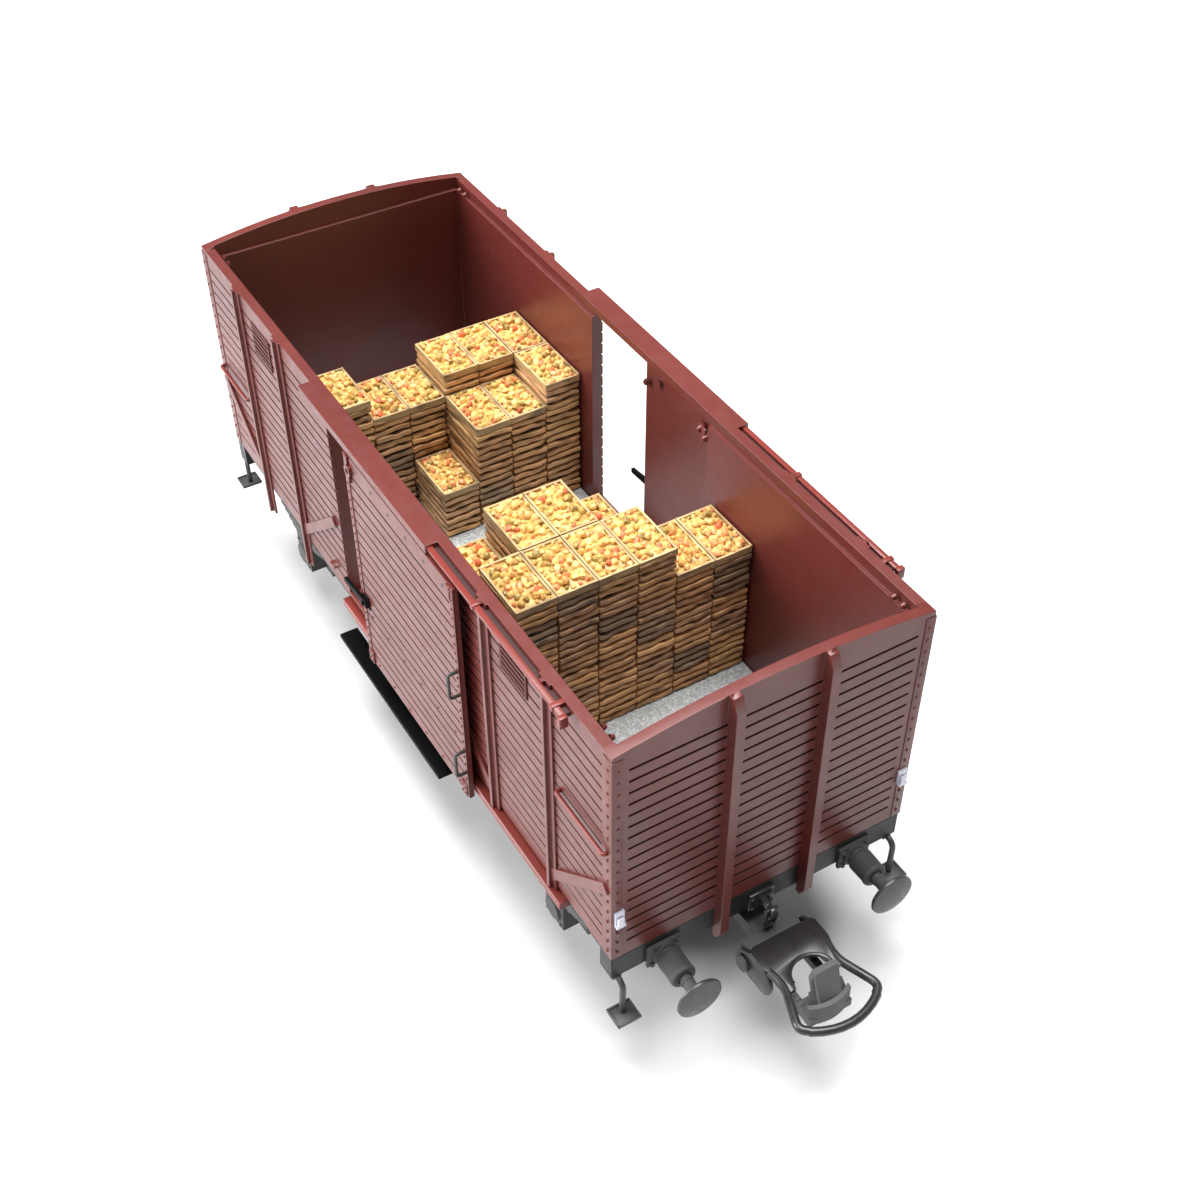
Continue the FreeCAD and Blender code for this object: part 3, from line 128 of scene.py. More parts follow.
class Paintwork:
    """Node tree of one material, with short ways to add and join nodes."""

    def __init__(self, name: str) -> None:
        """Start a material with one Principled shader on Object coordinates.

        Args:
            name: name of the material.
        """
        self.material = bpy.data.materials.new(name)
        self.material.use_nodes = True
        self.nodes = self.material.node_tree.nodes
        self.links = self.material.node_tree.links
        self.shader = self.nodes["Principled BSDF"]
        self.place = self.nodes.new("ShaderNodeTexCoord").outputs["Object"]

    def set(self, **values: float) -> None:
        """Set plain numbers on the shader, with spaces in socket names written as underscores."""
        for name, value in values.items():
            self.shader.inputs[name.replace("_", " ")].default_value = value

    def feed(self, socket: str, source: Socket) -> None:
        """Join a node's output to one of the shader's sockets."""
        self.links.new(source, self.shader.inputs[socket])

    def stretched(self, factors: Point) -> Socket:
        """Object coordinates scaled by a factor along each axis."""
        mapping = self.nodes.new("ShaderNodeMapping")
        mapping.inputs["Scale"].default_value = factors
        self.links.new(self.place, mapping.inputs["Vector"])
        return mapping.outputs["Vector"]

    def noise(self, scale: float, detail: float = 3.0, stretch: Point = (1, 1, 1)) -> Socket:
        """Noise of a given fineness.

        Args:
            scale: waves per metre.
            detail: octaves of finer noise.
            stretch: factors on the three axes.

        Returns:
            The noise's value output.
        """
        node = self.nodes.new("ShaderNodeTexNoise")
        node.inputs["Scale"].default_value = scale
        node.inputs["Detail"].default_value = detail
        self.links.new(self.stretched(stretch), node.inputs["Vector"])
        return node.outputs["Fac"]

    def specks(self, scale: float) -> Socket:
        """Distance to the nearest of scattered points, which shades like grains."""
        node = self.nodes.new("ShaderNodeTexVoronoi")
        node.inputs["Scale"].default_value = scale
        self.links.new(self.place, node.inputs["Vector"])
        return node.outputs["Distance"]

    def ramp(self, source: Socket, stops: Iterable[tuple[float, Colour]]) -> Socket:
        """Colour ramp over a value.

        Args:
            source: value between 0 and 1.
            stops: position and colour of each stop.

        Returns:
            The ramp's colour output.
        """
        node = self.nodes.new("ShaderNodeValToRGB")
        elements = node.color_ramp.elements
        for index, (position, colour) in enumerate(stops):
            element = elements[index] if index < len(elements) else elements.new(position)
            element.position = position
            element.color = (*colour, 1.0)
        self.links.new(source, node.inputs["Fac"])
        return node.outputs["Color"]

    def span(self, source: Socket, low: float, high: float) -> Socket:
        """A noise value's useful middle stretched over a new range."""
        node = self.nodes.new("ShaderNodeMapRange")
        node.inputs["From Min"].default_value = 0.3
        node.inputs["From Max"].default_value = 0.7
        node.inputs["To Min"].default_value = low
        node.inputs["To Max"].default_value = high
        self.links.new(source, node.inputs["Value"])
        return node.outputs["Result"]

    def roughen(self, scale: float, low: float, high: float) -> None:
        """Let the roughness wander between two values, in waves of a given fineness."""
        self.feed("Roughness", self.span(self.noise(scale), low, high))

    def mix(
        self,
        share: Socket | float,
        first: Socket | Colour,
        second: Socket | Colour,
        blend: str = "MIX",
    ) -> Socket:
        """Blend of two colours.

        Args:
            share: how much of the second is taken, a number or an output.
            first: colour or output below.
            second: colour or output on top.
            blend: name of the blend mode.

        Returns:
            The blended colour output.
        """
        node = self.nodes.new("ShaderNodeMix")
        node.data_type = "RGBA"
        node.blend_type = blend
        for socket, value in ((node.inputs[0], share), (node.inputs[6], first), (node.inputs[7], second)):
            if isinstance(value, Socket):
                self.links.new(value, socket)
            elif isinstance(value, float):
                socket.default_value = value
            else:
                socket.default_value = (*value, 1.0)
        return node.outputs[2]

    def tint(self) -> Socket:
        """Colour that each vertex of the piece carries."""
        node = self.nodes.new("ShaderNodeAttribute")
        node.attribute_name = "tint"
        return node.outputs["Color"]

    def bump(self, height: Socket, strength: float, depth: float) -> None:
        """Surface relief from a height.

        Args:
            height: value output to read as height.
            strength: share of the relief that shows.
            depth: height of the relief in millimetres.
        """
        node = self.nodes.new("ShaderNodeBump")
        node.inputs["Strength"].default_value = strength
        node.inputs["Distance"].default_value = depth * MM
        self.links.new(height, node.inputs["Height"])
        self.feed("Normal", node.outputs["Normal"])


def placed(name: str, data: bpy.types.ID) -> bpy.types.Object:
    """New object of some data, linked to the scene."""
    made = bpy.data.objects.new(name, data)
    bpy.context.scene.collection.objects.link(made)
    return made


def mesh_from(made: bmesh.types.BMesh, name: str) -> bpy.types.Mesh:
    """Mesh data of a bmesh, which is freed."""
    data = bpy.data.meshes.new(name)
    made.to_mesh(data)
    made.free()
    return data


def shade(colour: Colour, factor: float) -> Colour:
    """Colour made darker or lighter by a factor."""
    return tuple(min(1.0, channel * factor) for channel in colour)


@dataclass(frozen=True)
class Moulding:
    """Satin moulded plastic with faint flow marks and a fine grain."""

    name: str
    colour: Colour
    roughness: float = 0.42
    spread: float = 0.12
    grain: float = 0.25
    sheen_level: float = 0.5

    def material(self) -> bpy.types.Material:
        """Build the material."""
        paint = Paintwork(self.name)
        flow = paint.noise(90.0, 4.0, (0.5, 1.0, 1.4))
        fine = paint.noise(5200.0, 2.0)
        low, high = shade(self.colour, 1 - self.spread), shade(self.colour, 1 + self.spread)
        paint.feed("Base Color", paint.ramp(flow, ((0.35, low), (0.65, high))))
        paint.roughen(650.0, self.roughness - 0.05, self.roughness + 0.06)
        paint.set(Specular_IOR_Level=self.sheen_level)
        paint.bump(fine, self.grain, 0.012)
        return paint.material


@dataclass(frozen=True)
class Metal:
    """Blackened, painted or bare metal with rubbed patches."""

    name: str
    colour: Colour
    worn: Colour
    wear: float = 0.66
    roughness: float = 0.35
    metallic: float = 0.6

    def material(self) -> bpy.types.Material:
        """Build the material."""
        paint = Paintwork(self.name)
        patches = paint.noise(700.0, 5.0)
        stops = (self.wear - 0.12, self.colour), (self.wear, self.worn)
        paint.feed("Base Color", paint.ramp(patches, stops))
        paint.roughen(1900.0, self.roughness - 0.07, self.roughness + 0.12)
        paint.set(Metallic=self.metallic)
        paint.bump(paint.noise(6000.0, 2.0), 0.3, 0.01)
        return paint.material


@dataclass(frozen=True)
class Ballast:
    """Light grey granular sheet with bright and dark specks."""

    name: str = "ballast"
    colour: Colour = (0.37, 0.39, 0.39)

    def material(self) -> bpy.types.Material:
        """Build the material."""
        paint = Paintwork(self.name)
        grains = paint.specks(5600.0)
        broad = paint.noise(3600.0, 3.0)
        dark, light = shade(self.colour, 0.6), shade(self.colour, 1.55)
        speckled = paint.ramp(broad, ((0.36, dark), (0.5, self.colour), (0.64, light)))
        paint.feed("Base Color", paint.mix(0.35, speckled, paint.ramp(grains, ((0.1, dark), (0.5, light)))))
        paint.set(Roughness=0.55, Metallic=0.25)
        paint.bump(grains, 0.6, 0.09)
        return paint.material


@dataclass(frozen=True)
class Timber:
    """Painted slats whose base colour each slat carries, with grain and a dark wash."""

    name: str = "slats"
    wash: Colour = (0.030, 0.017, 0.008)

    def material(self) -> bpy.types.Material:
        """Build the material."""
        paint = Paintwork(self.name)
        grain = paint.noise(900.0, 5.0, (0.5, 0.5, 5.0))
        stains = paint.noise(420.0, 4.0, (1.0, 1.0, 2.2))
        worn = paint.ramp(grain, ((0.3, (0.40, 0.37, 0.34)), (0.62, (0.84, 0.82, 0.82))))
        lit = paint.mix(0.75, paint.tint(), worn, "MULTIPLY")
        dirt = paint.ramp(stains, ((0.50, (0.0, 0.0, 0.0)), (0.74, (0.7, 0.7, 0.7))))
        paint.feed("Base Color", paint.mix(dirt, lit, self.wash))
        paint.set(Roughness=0.62)
        paint.bump(grain, 0.8, 0.07)
        return paint.material


@dataclass(frozen=True)
class FruitSkin:
    """Painted fruit whose colour each fruit carries, with blotches and a little gloss."""

    name: str = "fruit"
    blush: Colour = (0.62, 0.20, 0.07)
    wash: Colour = (0.15, 0.10, 0.03)

    def material(self) -> bpy.types.Material:
        """Build the material."""
        paint = Paintwork(self.name)
        blotch = paint.ramp(paint.noise(1300.0, 3.0), ((0.56, (0.0, 0.0, 0.0)), (0.8, (0.55, 0.55, 0.55))))
        stain = paint.ramp(paint.noise(1900.0, 4.0), ((0.55, (0.0, 0.0, 0.0)), (0.78, (0.6, 0.6, 0.6))))
        flushed = paint.mix(blotch, paint.tint(), self.blush)
        paint.feed("Base Color", paint.mix(stain, flushed, self.wash))
        paint.set(Roughness=0.42)
        paint.bump(paint.noise(4200.0, 3.0), 0.5, 0.05)
        return paint.material


@dataclass(frozen=True)
class Backdrop:
    """Plain pale surface that the van stands on."""

    name: str = "backdrop"
    colour: Colour = (0.62, 0.62, 0.62)

    def material(self) -> bpy.types.Material:
        """Build the material."""
        paint = Paintwork(self.name)
        low, high = shade(self.colour, 0.995), shade(self.colour, 1.005)
        paint.feed("Base Color", paint.ramp(paint.noise(6.0, 2.0), ((0.4, low), (0.6, high))))
        paint.set(Roughness=0.55)
        return paint.material


class Coat(Enum):
    """The finishes that the van's pieces wear."""

    RED = Moulding("red_oxide", (0.110, 0.019, 0.015), 0.36, 0.10, 0.20, 0.50)
    # Darker red for the insides of plank grooves and the web behind the door rails: painted shade.
    RECESS = Moulding("red_painted_shade", (0.034, 0.006, 0.005), 0.60, 0.10)
    LOUVRE = Moulding("louvre_red", (0.070, 0.013, 0.010), 0.55, 0.10, 0.25, 0.25)
    RAIL_RED = Moulding("rail_red", (0.165, 0.026, 0.020), 0.34, 0.08, 0.25, 0.42)
    BLACK = Moulding("black_moulding", (0.004, 0.004, 0.0045), 0.36, 0.25, 0.08, 0.07)
    DULL = Moulding("dull_black", (0.004, 0.004, 0.004), 0.50, 0.25, 0.08, 0.05)
    HEADSTOCK = Moulding("headstock_grey", (0.018, 0.018, 0.018), 0.42, 0.15, 0.25, 0.25)
    GLOSS = Moulding("gloss_black", (0.004, 0.004, 0.005), 0.16, 0.20, 0.06, 0.30)
    COUPLER = Moulding("coupler_black", (0.006, 0.0058, 0.006), 0.36, 0.20, 0.12, 0.10)
    LOOP = Moulding("loop_metal", (0.026, 0.0245, 0.024), 0.30, 0.20, 0.4, 0.45)
    BUFFER_FACE = Metal("buffer_face", (0.050, 0.051, 0.052), (0.070, 0.070, 0.071), 0.76, 0.34, 0.4)
    WIRE = Metal("black_wire", (0.016, 0.016, 0.017), (0.06, 0.06, 0.06), 0.72, 0.30, 0.4)
    WHEEL = Metal("wheel_brown", (0.060, 0.048, 0.040), (0.13, 0.11, 0.09), 0.68, 0.45, 0.7)
    TREAD = Metal("wheel_tread", (0.42, 0.40, 0.38), (0.60, 0.58, 0.55), 0.6, 0.25, 1.0)
    FITTING = Moulding("grey_fitting", (0.09, 0.09, 0.14), 0.42, 0.10)
    FLOOR = Ballast()
    SLATS = Timber()
    FRUIT = FruitSkin()
    STAGE = Backdrop()

    def paint(self) -> bpy.types.Material:
        """The coat's material, made at its first use."""
        made = bpy.data.materials.get(self.value.name)
        return made or self.value.material()


# --- mesh work ----------------------------------------------------------------------------------

def turned(points: Iterable[Point], bend: float, steps: int = 5) -> list[Vector]:
    """Polyline with its inner corners rounded.

    Args:
        points: corners of the line.
        bend: how far before and after a corner the rounding reaches.
        steps: points on each rounded corner.

    Returns:
        The points of the rounded line.
    """
    corners = [Vector(point) for point in points]
    line = [corners[0]]
    for before, corner, after in zip(corners, corners[1:], corners[2:]):
        start = corner + (before - corner).normalized() * bend
        stop = corner + (after - corner).normalized() * bend
        for step in range(steps + 1):
            share = step / steps
            line.append(start.lerp(corner, share).lerp(corner.lerp(stop, share), share))
    return line + [corners[-1]]


class Work:
    """One piece's mesh while it is being made, in millimetres."""

    def __init__(self) -> None:
        """Start an empty mesh."""
        self.mesh = bmesh.new()
        self.coat_index = 0

    def _fresh(self, made: Iterable[bmesh.types.BMVert]) -> list[bmesh.types.BMVert]:
        """Give the faces of new vertices the current coat and return the vertices."""
        verts = list(made)
        for face in faces_of(verts):
            face.material_index = self.coat_index
        return verts

    def soften(self, verts: Iterable[bmesh.types.BMVert], width: float, segments: int = 2) -> None:
        """Round the sharp edges between some vertices.

        Args:
            verts: vertices whose edges are looked at.
            width: width of the rounding.
            segments: faces across the rounding.
        """
        edges = {edge for vert in verts for edge in vert.link_edges}
        bevel(self.mesh, sharp_edges(edges), width, segments)

    def block(self, low: Point, high: Point, soft: float = 0.0, segments: int = 2) -> None:
        """Box between two corners, given in any order, with softened edges."""
        first, last = Vector(low), Vector(high)
        extent = Vector(abs(a - b) for a, b in zip(first, last))
        place = Matrix.Translation((first + last) / 2) @ Matrix.Diagonal((*extent, 1.0))
        verts = self._fresh(bmesh.ops.create_cube(self.mesh, size=1.0, matrix=place)["verts"])
        if soft:
            self.soften(verts, soft, segments)

    def plate(self, outline: Iterable[Point], travel: Point, soft: float = 0.0, segments: int = 2) -> None:
        """Flat outline drawn out along a vector.

        Args:
            outline: corners of the outline in order.
            travel: how far and which way it is drawn out.
            soft: width of the softened edges.
            segments: faces across a softened edge.
        """
        verts = [self.mesh.verts.new(point) for point in outline]
        face = self.mesh.faces.new(verts)
        drawn = bmesh.ops.extrude_face_region(self.mesh, geom=[face])["geom"]
        moved = verts_in(drawn)
        bmesh.ops.translate(self.mesh, vec=Vector(travel), verts=moved)
        made = self._fresh(verts + moved)
        bmesh.ops.recalc_face_normals(self.mesh, faces=faces_of(made))
        if soft:
            self.soften(made, soft, segments)

    def stud(self, at: Point, normal: Point, radius: float, height: float, sides: int = 8) -> None:
        """Low rivet or bolt head standing on a surface.

        Args:
            at: middle of its foot.
            normal: direction it stands out.
            radius: radius of its foot.
            height: how far it stands out.
            sides: number of its sides.
        """
        axis = Vector(normal).normalized()
        turn = axis.to_track_quat("Z", "Y").to_matrix().to_4x4()
        place = Matrix.Translation(Vector(at) + axis * height / 2) @ turn
        made = bmesh.ops.create_cone(
            self.mesh, cap_ends=True, segments=sides, radius1=radius, radius2=radius * STUD_TAPER,
            depth=height, matrix=place,
        )
        self._fresh(made["verts"])

    def lathe(self, profile: Iterable[Point], foot: Point, axis: Point, steps: int = 32) -> None:
        """Round shape spun from a profile.

        Args:
            profile: distance along the axis and radius of each corner, in order.
            foot: point on the axis from which the distances are measured.
            axis: direction of the axis.
            steps: faces round the axis.
        """
        line = Vector(axis).normalized()
        across = line.orthogonal().normalized()
        start = Vector(foot)
        verts = [self.mesh.verts.new(start + line * along + across * radius) for along, radius in profile]
        edges = [self.mesh.edges.new(pair) for pair in zip(verts, verts[1:])]
        spun = bmesh.ops.spin(
            self.mesh, geom=verts + edges, cent=start, axis=line, angle=math.tau, steps=steps, use_merge=True
        )
        joined = self.island(verts_in(spun["geom_last"]) + verts)
        bmesh.ops.remove_doubles(self.mesh, verts=list(joined), dist=WELD)
        island = self._fresh(self.island(vert for vert in joined if vert.is_valid))
        bmesh.ops.recalc_face_normals(self.mesh, faces=faces_of(island))

    def island(self, start: Iterable[bmesh.types.BMVert]) -> set[bmesh.types.BMVert]:
        """Every vertex joined by edges to the given ones."""
        found = set(start)
        waiting = list(found)
        while waiting:
            vert = waiting.pop()
            for edge in vert.link_edges:
                other = edge.other_vert(vert)
                if other not in found:
                    found.add(other)
                    waiting.append(other)
        return found

    def bar(self, line: Iterable[Point], radius: float, sides: int = 12) -> None:
        """Round bar along a line of points, closed at both ends.

        Args:
            line: points of the bar's middle.
            radius: radius of the bar.
            sides: number of faces round it.
        """
        path = [Vector(point) for point in line]
        ways = [(after - before).normalized() for before, after in zip(path, path[1:])]
        tangents = [ways[0]] + [(a + b).normalized() for a, b in zip(ways, ways[1:])] + [ways[-1]]
        turn = tangents[0].to_track_quat("Z", "Y")
        rings = []
        for index, (point, tangent) in enumerate(zip(path, tangents)):
            if index:
                turn = tangents[index - 1].rotation_difference(tangent) @ turn
            place = Matrix.Translation(point) @ turn.to_matrix().to_4x4()
            made = bmesh.ops.create_circle(
                self.mesh, cap_ends=False, segments=sides, radius=radius, matrix=place
            )
            rings.append(made["verts"])
        edges = [list({edge for vert in ring for edge in vert.link_edges}) for ring in rings]
        for first, last in zip(edges, edges[1:]):
            bmesh.ops.bridge_loops(self.mesh, edges=first + last)
        self.mesh.faces.new(rings[0])
        self.mesh.faces.new(rings[-1])
        verts = self._fresh(vert for ring in rings for vert in ring)
        bmesh.ops.recalc_face_normals(self.mesh, faces=faces_of(verts))

    def take(self, other: "Work") -> None:
        """Move everything from another mesh into this one."""
        data = mesh_from(other.mesh, "part")
        self.mesh.from_mesh(data)
        bpy.data.meshes.remove(data)

    def mirrored(self, axis: str) -> None:
        """Add the mirror image of everything made so far, through the frame's middle plane."""
        index = "XYZ".index(axis)
        source = self.mesh.verts[:] + self.mesh.edges[:] + self.mesh.faces[:]
        copied = bmesh.ops.duplicate(self.mesh, geom=source)["geom"]
        faces = [item for item in copied if isinstance(item, bmesh.types.BMFace)]
        flip = Vector((1, 1, 1))
        flip[index] = -1
        bmesh.ops.scale(self.mesh, vec=flip, verts=verts_in(copied))
        bmesh.ops.reverse_faces(self.mesh, faces=faces)

    def finish(
        self,
        name: str,
        body: str,
        coats: Coat | Sequence[Coat],
        slot: str = "",
        stands_for: Iterable[str] = (),
    ) -> bpy.types.Object:
        """Turn the mesh into a piece that rides on a body.

        Args:
            name: name of the piece.
            body: CAD body it moves with.
            coats: its finish, or one for each material index.
            slot: the record's material slot; not used.
            stands_for: CAD nodes that it is shown instead of.

        Returns:
            The finished object.
        """
        bmesh.ops.scale(self.mesh, vec=(MM, MM, MM), verts=self.mesh.verts)
        data = mesh_from(self.mesh, name)
        data.shade_smooth()
        data.set_sharp_from_angle(angle=CREASE)
        piece = placed(name, data)
        for coat in [coats] if isinstance(coats, Coat) else coats:
            data.materials.append(coat.paint())
        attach(piece, body)
        if stands_for:
            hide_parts(*stands_for)
        return piece


@dataclass
class Casting:
    """Softened copy of a CAD node, whose edges then catch the light."""

    node: str
    width: float = 0.05
    clamp: bool = True

    def work(self) -> Work:
        """Copy the node's mesh, merge it, clean its flat faces and round its edges."""
        work = Work()
        work.mesh.from_mesh(frame["nodes"][self.node].data)
        bmesh.ops.scale(work.mesh, vec=(1 / MM,) * 3, verts=work.mesh.verts)
        bmesh.ops.remove_doubles(work.mesh, verts=work.mesh.verts, dist=CASTING_WELD)
        bmesh.ops.dissolve_limit(work.mesh, angle_limit=FLAT, verts=work.mesh.verts, edges=work.mesh.edges)
        bevel(work.mesh, sharp_edges(work.mesh.edges), self.width, clamp=self.clamp)
        for face in work.mesh.faces:
            face.material_index = 0
        return work

    def finish(self, coats: Coat | Sequence[Coat], slot: str) -> bpy.types.Object:
        """Make the softened copy into a piece that stands for its node."""
        return self.settle(self.work(), coats, slot)

    def settle(self, work: Work, coats: Coat | Sequence[Coat], slot: str) -> bpy.types.Object:
        """Make a mesh into a piece that stands for the node, with flat faces that shade flat.

        Args:
            work: the softened copy, dressed or not.
            coats: its finish, or one for each material index.
            slot: the record's material slot.

        Returns:
            The finished object.
        """
        body = frame["nodes"][self.node]["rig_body"]
        piece = work.finish(f"{self.node}_piece", body, coats, slot, [self.node])
        flat = piece.modifiers.new("flat_faces", "WEIGHTED_NORMAL")
        flat.keep_sharp = True
        flat.weight = 80
        return piece


# --- the body -----------------------------------------------------------------------------------

@dataclass
class BodyShell:
    """Planked walls with their corner angles, rivets and the small parts fixed to them."""

    edge: float = 0.035
    groove_depth: float = 0.16
    angle_width: float = 1.25
    end_angle_width: float = 0.95
    angle_thick: float = 0.07
    rivet: float = 0.17
    rivet_height: float = 0.11
    pitch: float = 1.33
    half_length: float = 41.15
    half_width: float = 15.1
    base: float = 15.25
    eaves: float = 40.4
    sunk: float = 0.05
    angle_soft: float = 0.025
    foot_gap: float = 0.1
    post_y: float = 4.45
    pip_rows: tuple[float, float] = (2.4, 3.6)

    def _shade_grooves(self, work: Work) -> None:
        """Give the inside of the plank grooves the darker painted-shade coat, which stands for shade in the
        grooves.
        """
        for face in work.mesh.faces:
            middle = face.calc_center_median()
            side = self.half_width - abs(middle.y)
            end = self.half_length - abs(middle.x)
            along = 0.02 < side < self.groove_depth + 0.02 and end > 1.0 and abs(face.normal.x) < 0.5
            across = 0.02 < end < self.groove_depth + 0.02 and side > 1.0 and abs(face.normal.y) < 0.5
            # Painted shade: faces inside the grooves take the darker coat.
            if (along or across) and middle.z < self.eaves - 1.5:
                face.material_index = 1

    def shell(self) -> None:
        """Build the walls."""
        casting = Casting("body_shell", self.edge, clamp=False)
        work = casting.work()
        self._shade_grooves(work)
        casting.settle(work, (Coat.RED, Coat.RECESS), "red_moulding")
        LOG.info("body shell")

    def corner_angles(self) -> None:
        """Build the riveted angle at each corner."""
        top, foot = self.eaves - 0.5, self.base + self.foot_gap
        length, width = self.half_length, self.half_width
        work = Work()
        work.block(
            (length - self.angle_width, width - self.sunk, foot),
            (length + self.angle_thick, width + self.angle_thick, top),
            self.angle_soft,
        )
        work.block(
            (length - self.sunk, width - self.end_angle_width, foot),
            (length + self.angle_thick, width, top),
            self.angle_soft,
        )
        inset = self.end_angle_width * 0.55
        for row in range(int((top - self.base) / self.pitch)):
            level = self.base + 0.9 + row * self.pitch
            size = self.rivet, self.rivet_height
            work.stud((length - inset, width + self.angle_thick, level), (0, 1, 0), *size)
            work.stud((length + self.angle_thick, width - inset, level), (1, 0, 0), *size)
        work.mirrored("X")
        work.mirrored("Y")
        work.finish("corner_angles", "van", Coat.RED, "red_moulding")
        LOG.info("corner angles")

    def end_details(self) -> None:
        """Build the rivets at the feet of the end posts and the pips inside the rim's corners."""
        work = Work()
        length = self.half_length
        for _, side in SIDES:
            for gap in (-1.0, 1.0):
                for level in (self.base + 0.7, self.base + 2.4, self.eaves - 1.6):
                    work.stud((length, side * self.post_y + gap, level), (1, 0, 0), 0.14, 0.09)
        work.mirrored("X")
        work.finish("end_post_rivets", "van", Coat.RED, "red_moulding")
        pips = Work()
        for inset in self.pip_rows:
            pips.stud((length - inset, self.half_width - 1.3, self.eaves - 0.7), (0, -1, 0), 0.32, 0.35, 10)
        pips.mirrored("X")
        pips.mirrored("Y")
        for rise in (-0.45, 0.45):
            pips.stud((9.6 + rise, 13.9, 37.9 - rise * 0.6), (0, -1, 0), 0.4, 0.45, 12)
        pips.block((9.3, 13.95, 37.2), (10.1, 13.7, 38.6), 0.08)
        pips.finish("roof_pips", "van", Coat.RED, "red_moulding")
        LOG.info("end details")

    def fittings(self) -> None:
        """Build the ventilators, rails, lamp irons and rope rails."""
        for end, _ in ENDS:
            for side, _ in SIDES:
                Casting(f"ventilator_{end}_{side}", 0.04).finish(Coat.LOUVRE, "red_moulding")
                Casting(f"lamp_iron_{end}_{side}", 0.03).finish(Coat.FITTING, "grey_fitting")
        for side, _ in SIDES:
            self.door_rail(side)
            Casting(f"sill_rail_{side}", 0.05).finish(Coat.RAIL_RED, "red_moulding")
            Casting(f"rope_rail_{side}", 0.02).finish(Coat.RAIL_RED, "red_wire")
        LOG.info("fittings")

    def door_rail(self, side: str) -> None:
        """Build one side's upper rail: a thin bar held off the wall by two lugs, with a sunk web behind it
        in the painted-shade coat that stands for the shadow between bar and wall.

        Args:
            side: name of the side.
        """
        node = f"door_rail_{side}"
        low, high = box_mm(node)
        sign = 1 if high.y > 0 else -1
        wall, outer = sign * self.half_width, sign * max(abs(low.y), abs(high.y))
        bar_in, bar_out, root = wall + sign * 0.5, outer - sign * 0.22, wall - sign * self.sunk
        work = Work()
        work.block((low.x, bar_in, high.z - 0.5), (high.x - 0.1, bar_out, high.z - 0.12), 0.06)
        work.block((high.x - 0.5, bar_in, low.z), (high.x, outer, high.z - 0.1), 0.06)
        for along in (0.36, 0.93):
            place = low.x + (high.x - low.x) * along
            work.block((place - 0.25, root, high.z - 0.55), (place + 0.25, outer - sign * 0.1, high.z), 0.07)
        # Painted shadow: a dark web between wall and bar, where the gap is in shade.
        work.coat_index = 1
        work.block((low.x, root, high.z - 0.85), (high.x - 0.6, bar_in + sign * 0.1, high.z - 0.4))
        work.finish(f"{node}_piece", "van", (Coat.RAIL_RED, Coat.RECESS), "red_moulding", [node])

    def build(self) -> None:
        """Build every piece of the body."""
        self.shell()
        self.corner_angles()
        self.end_details()
        self.fittings()


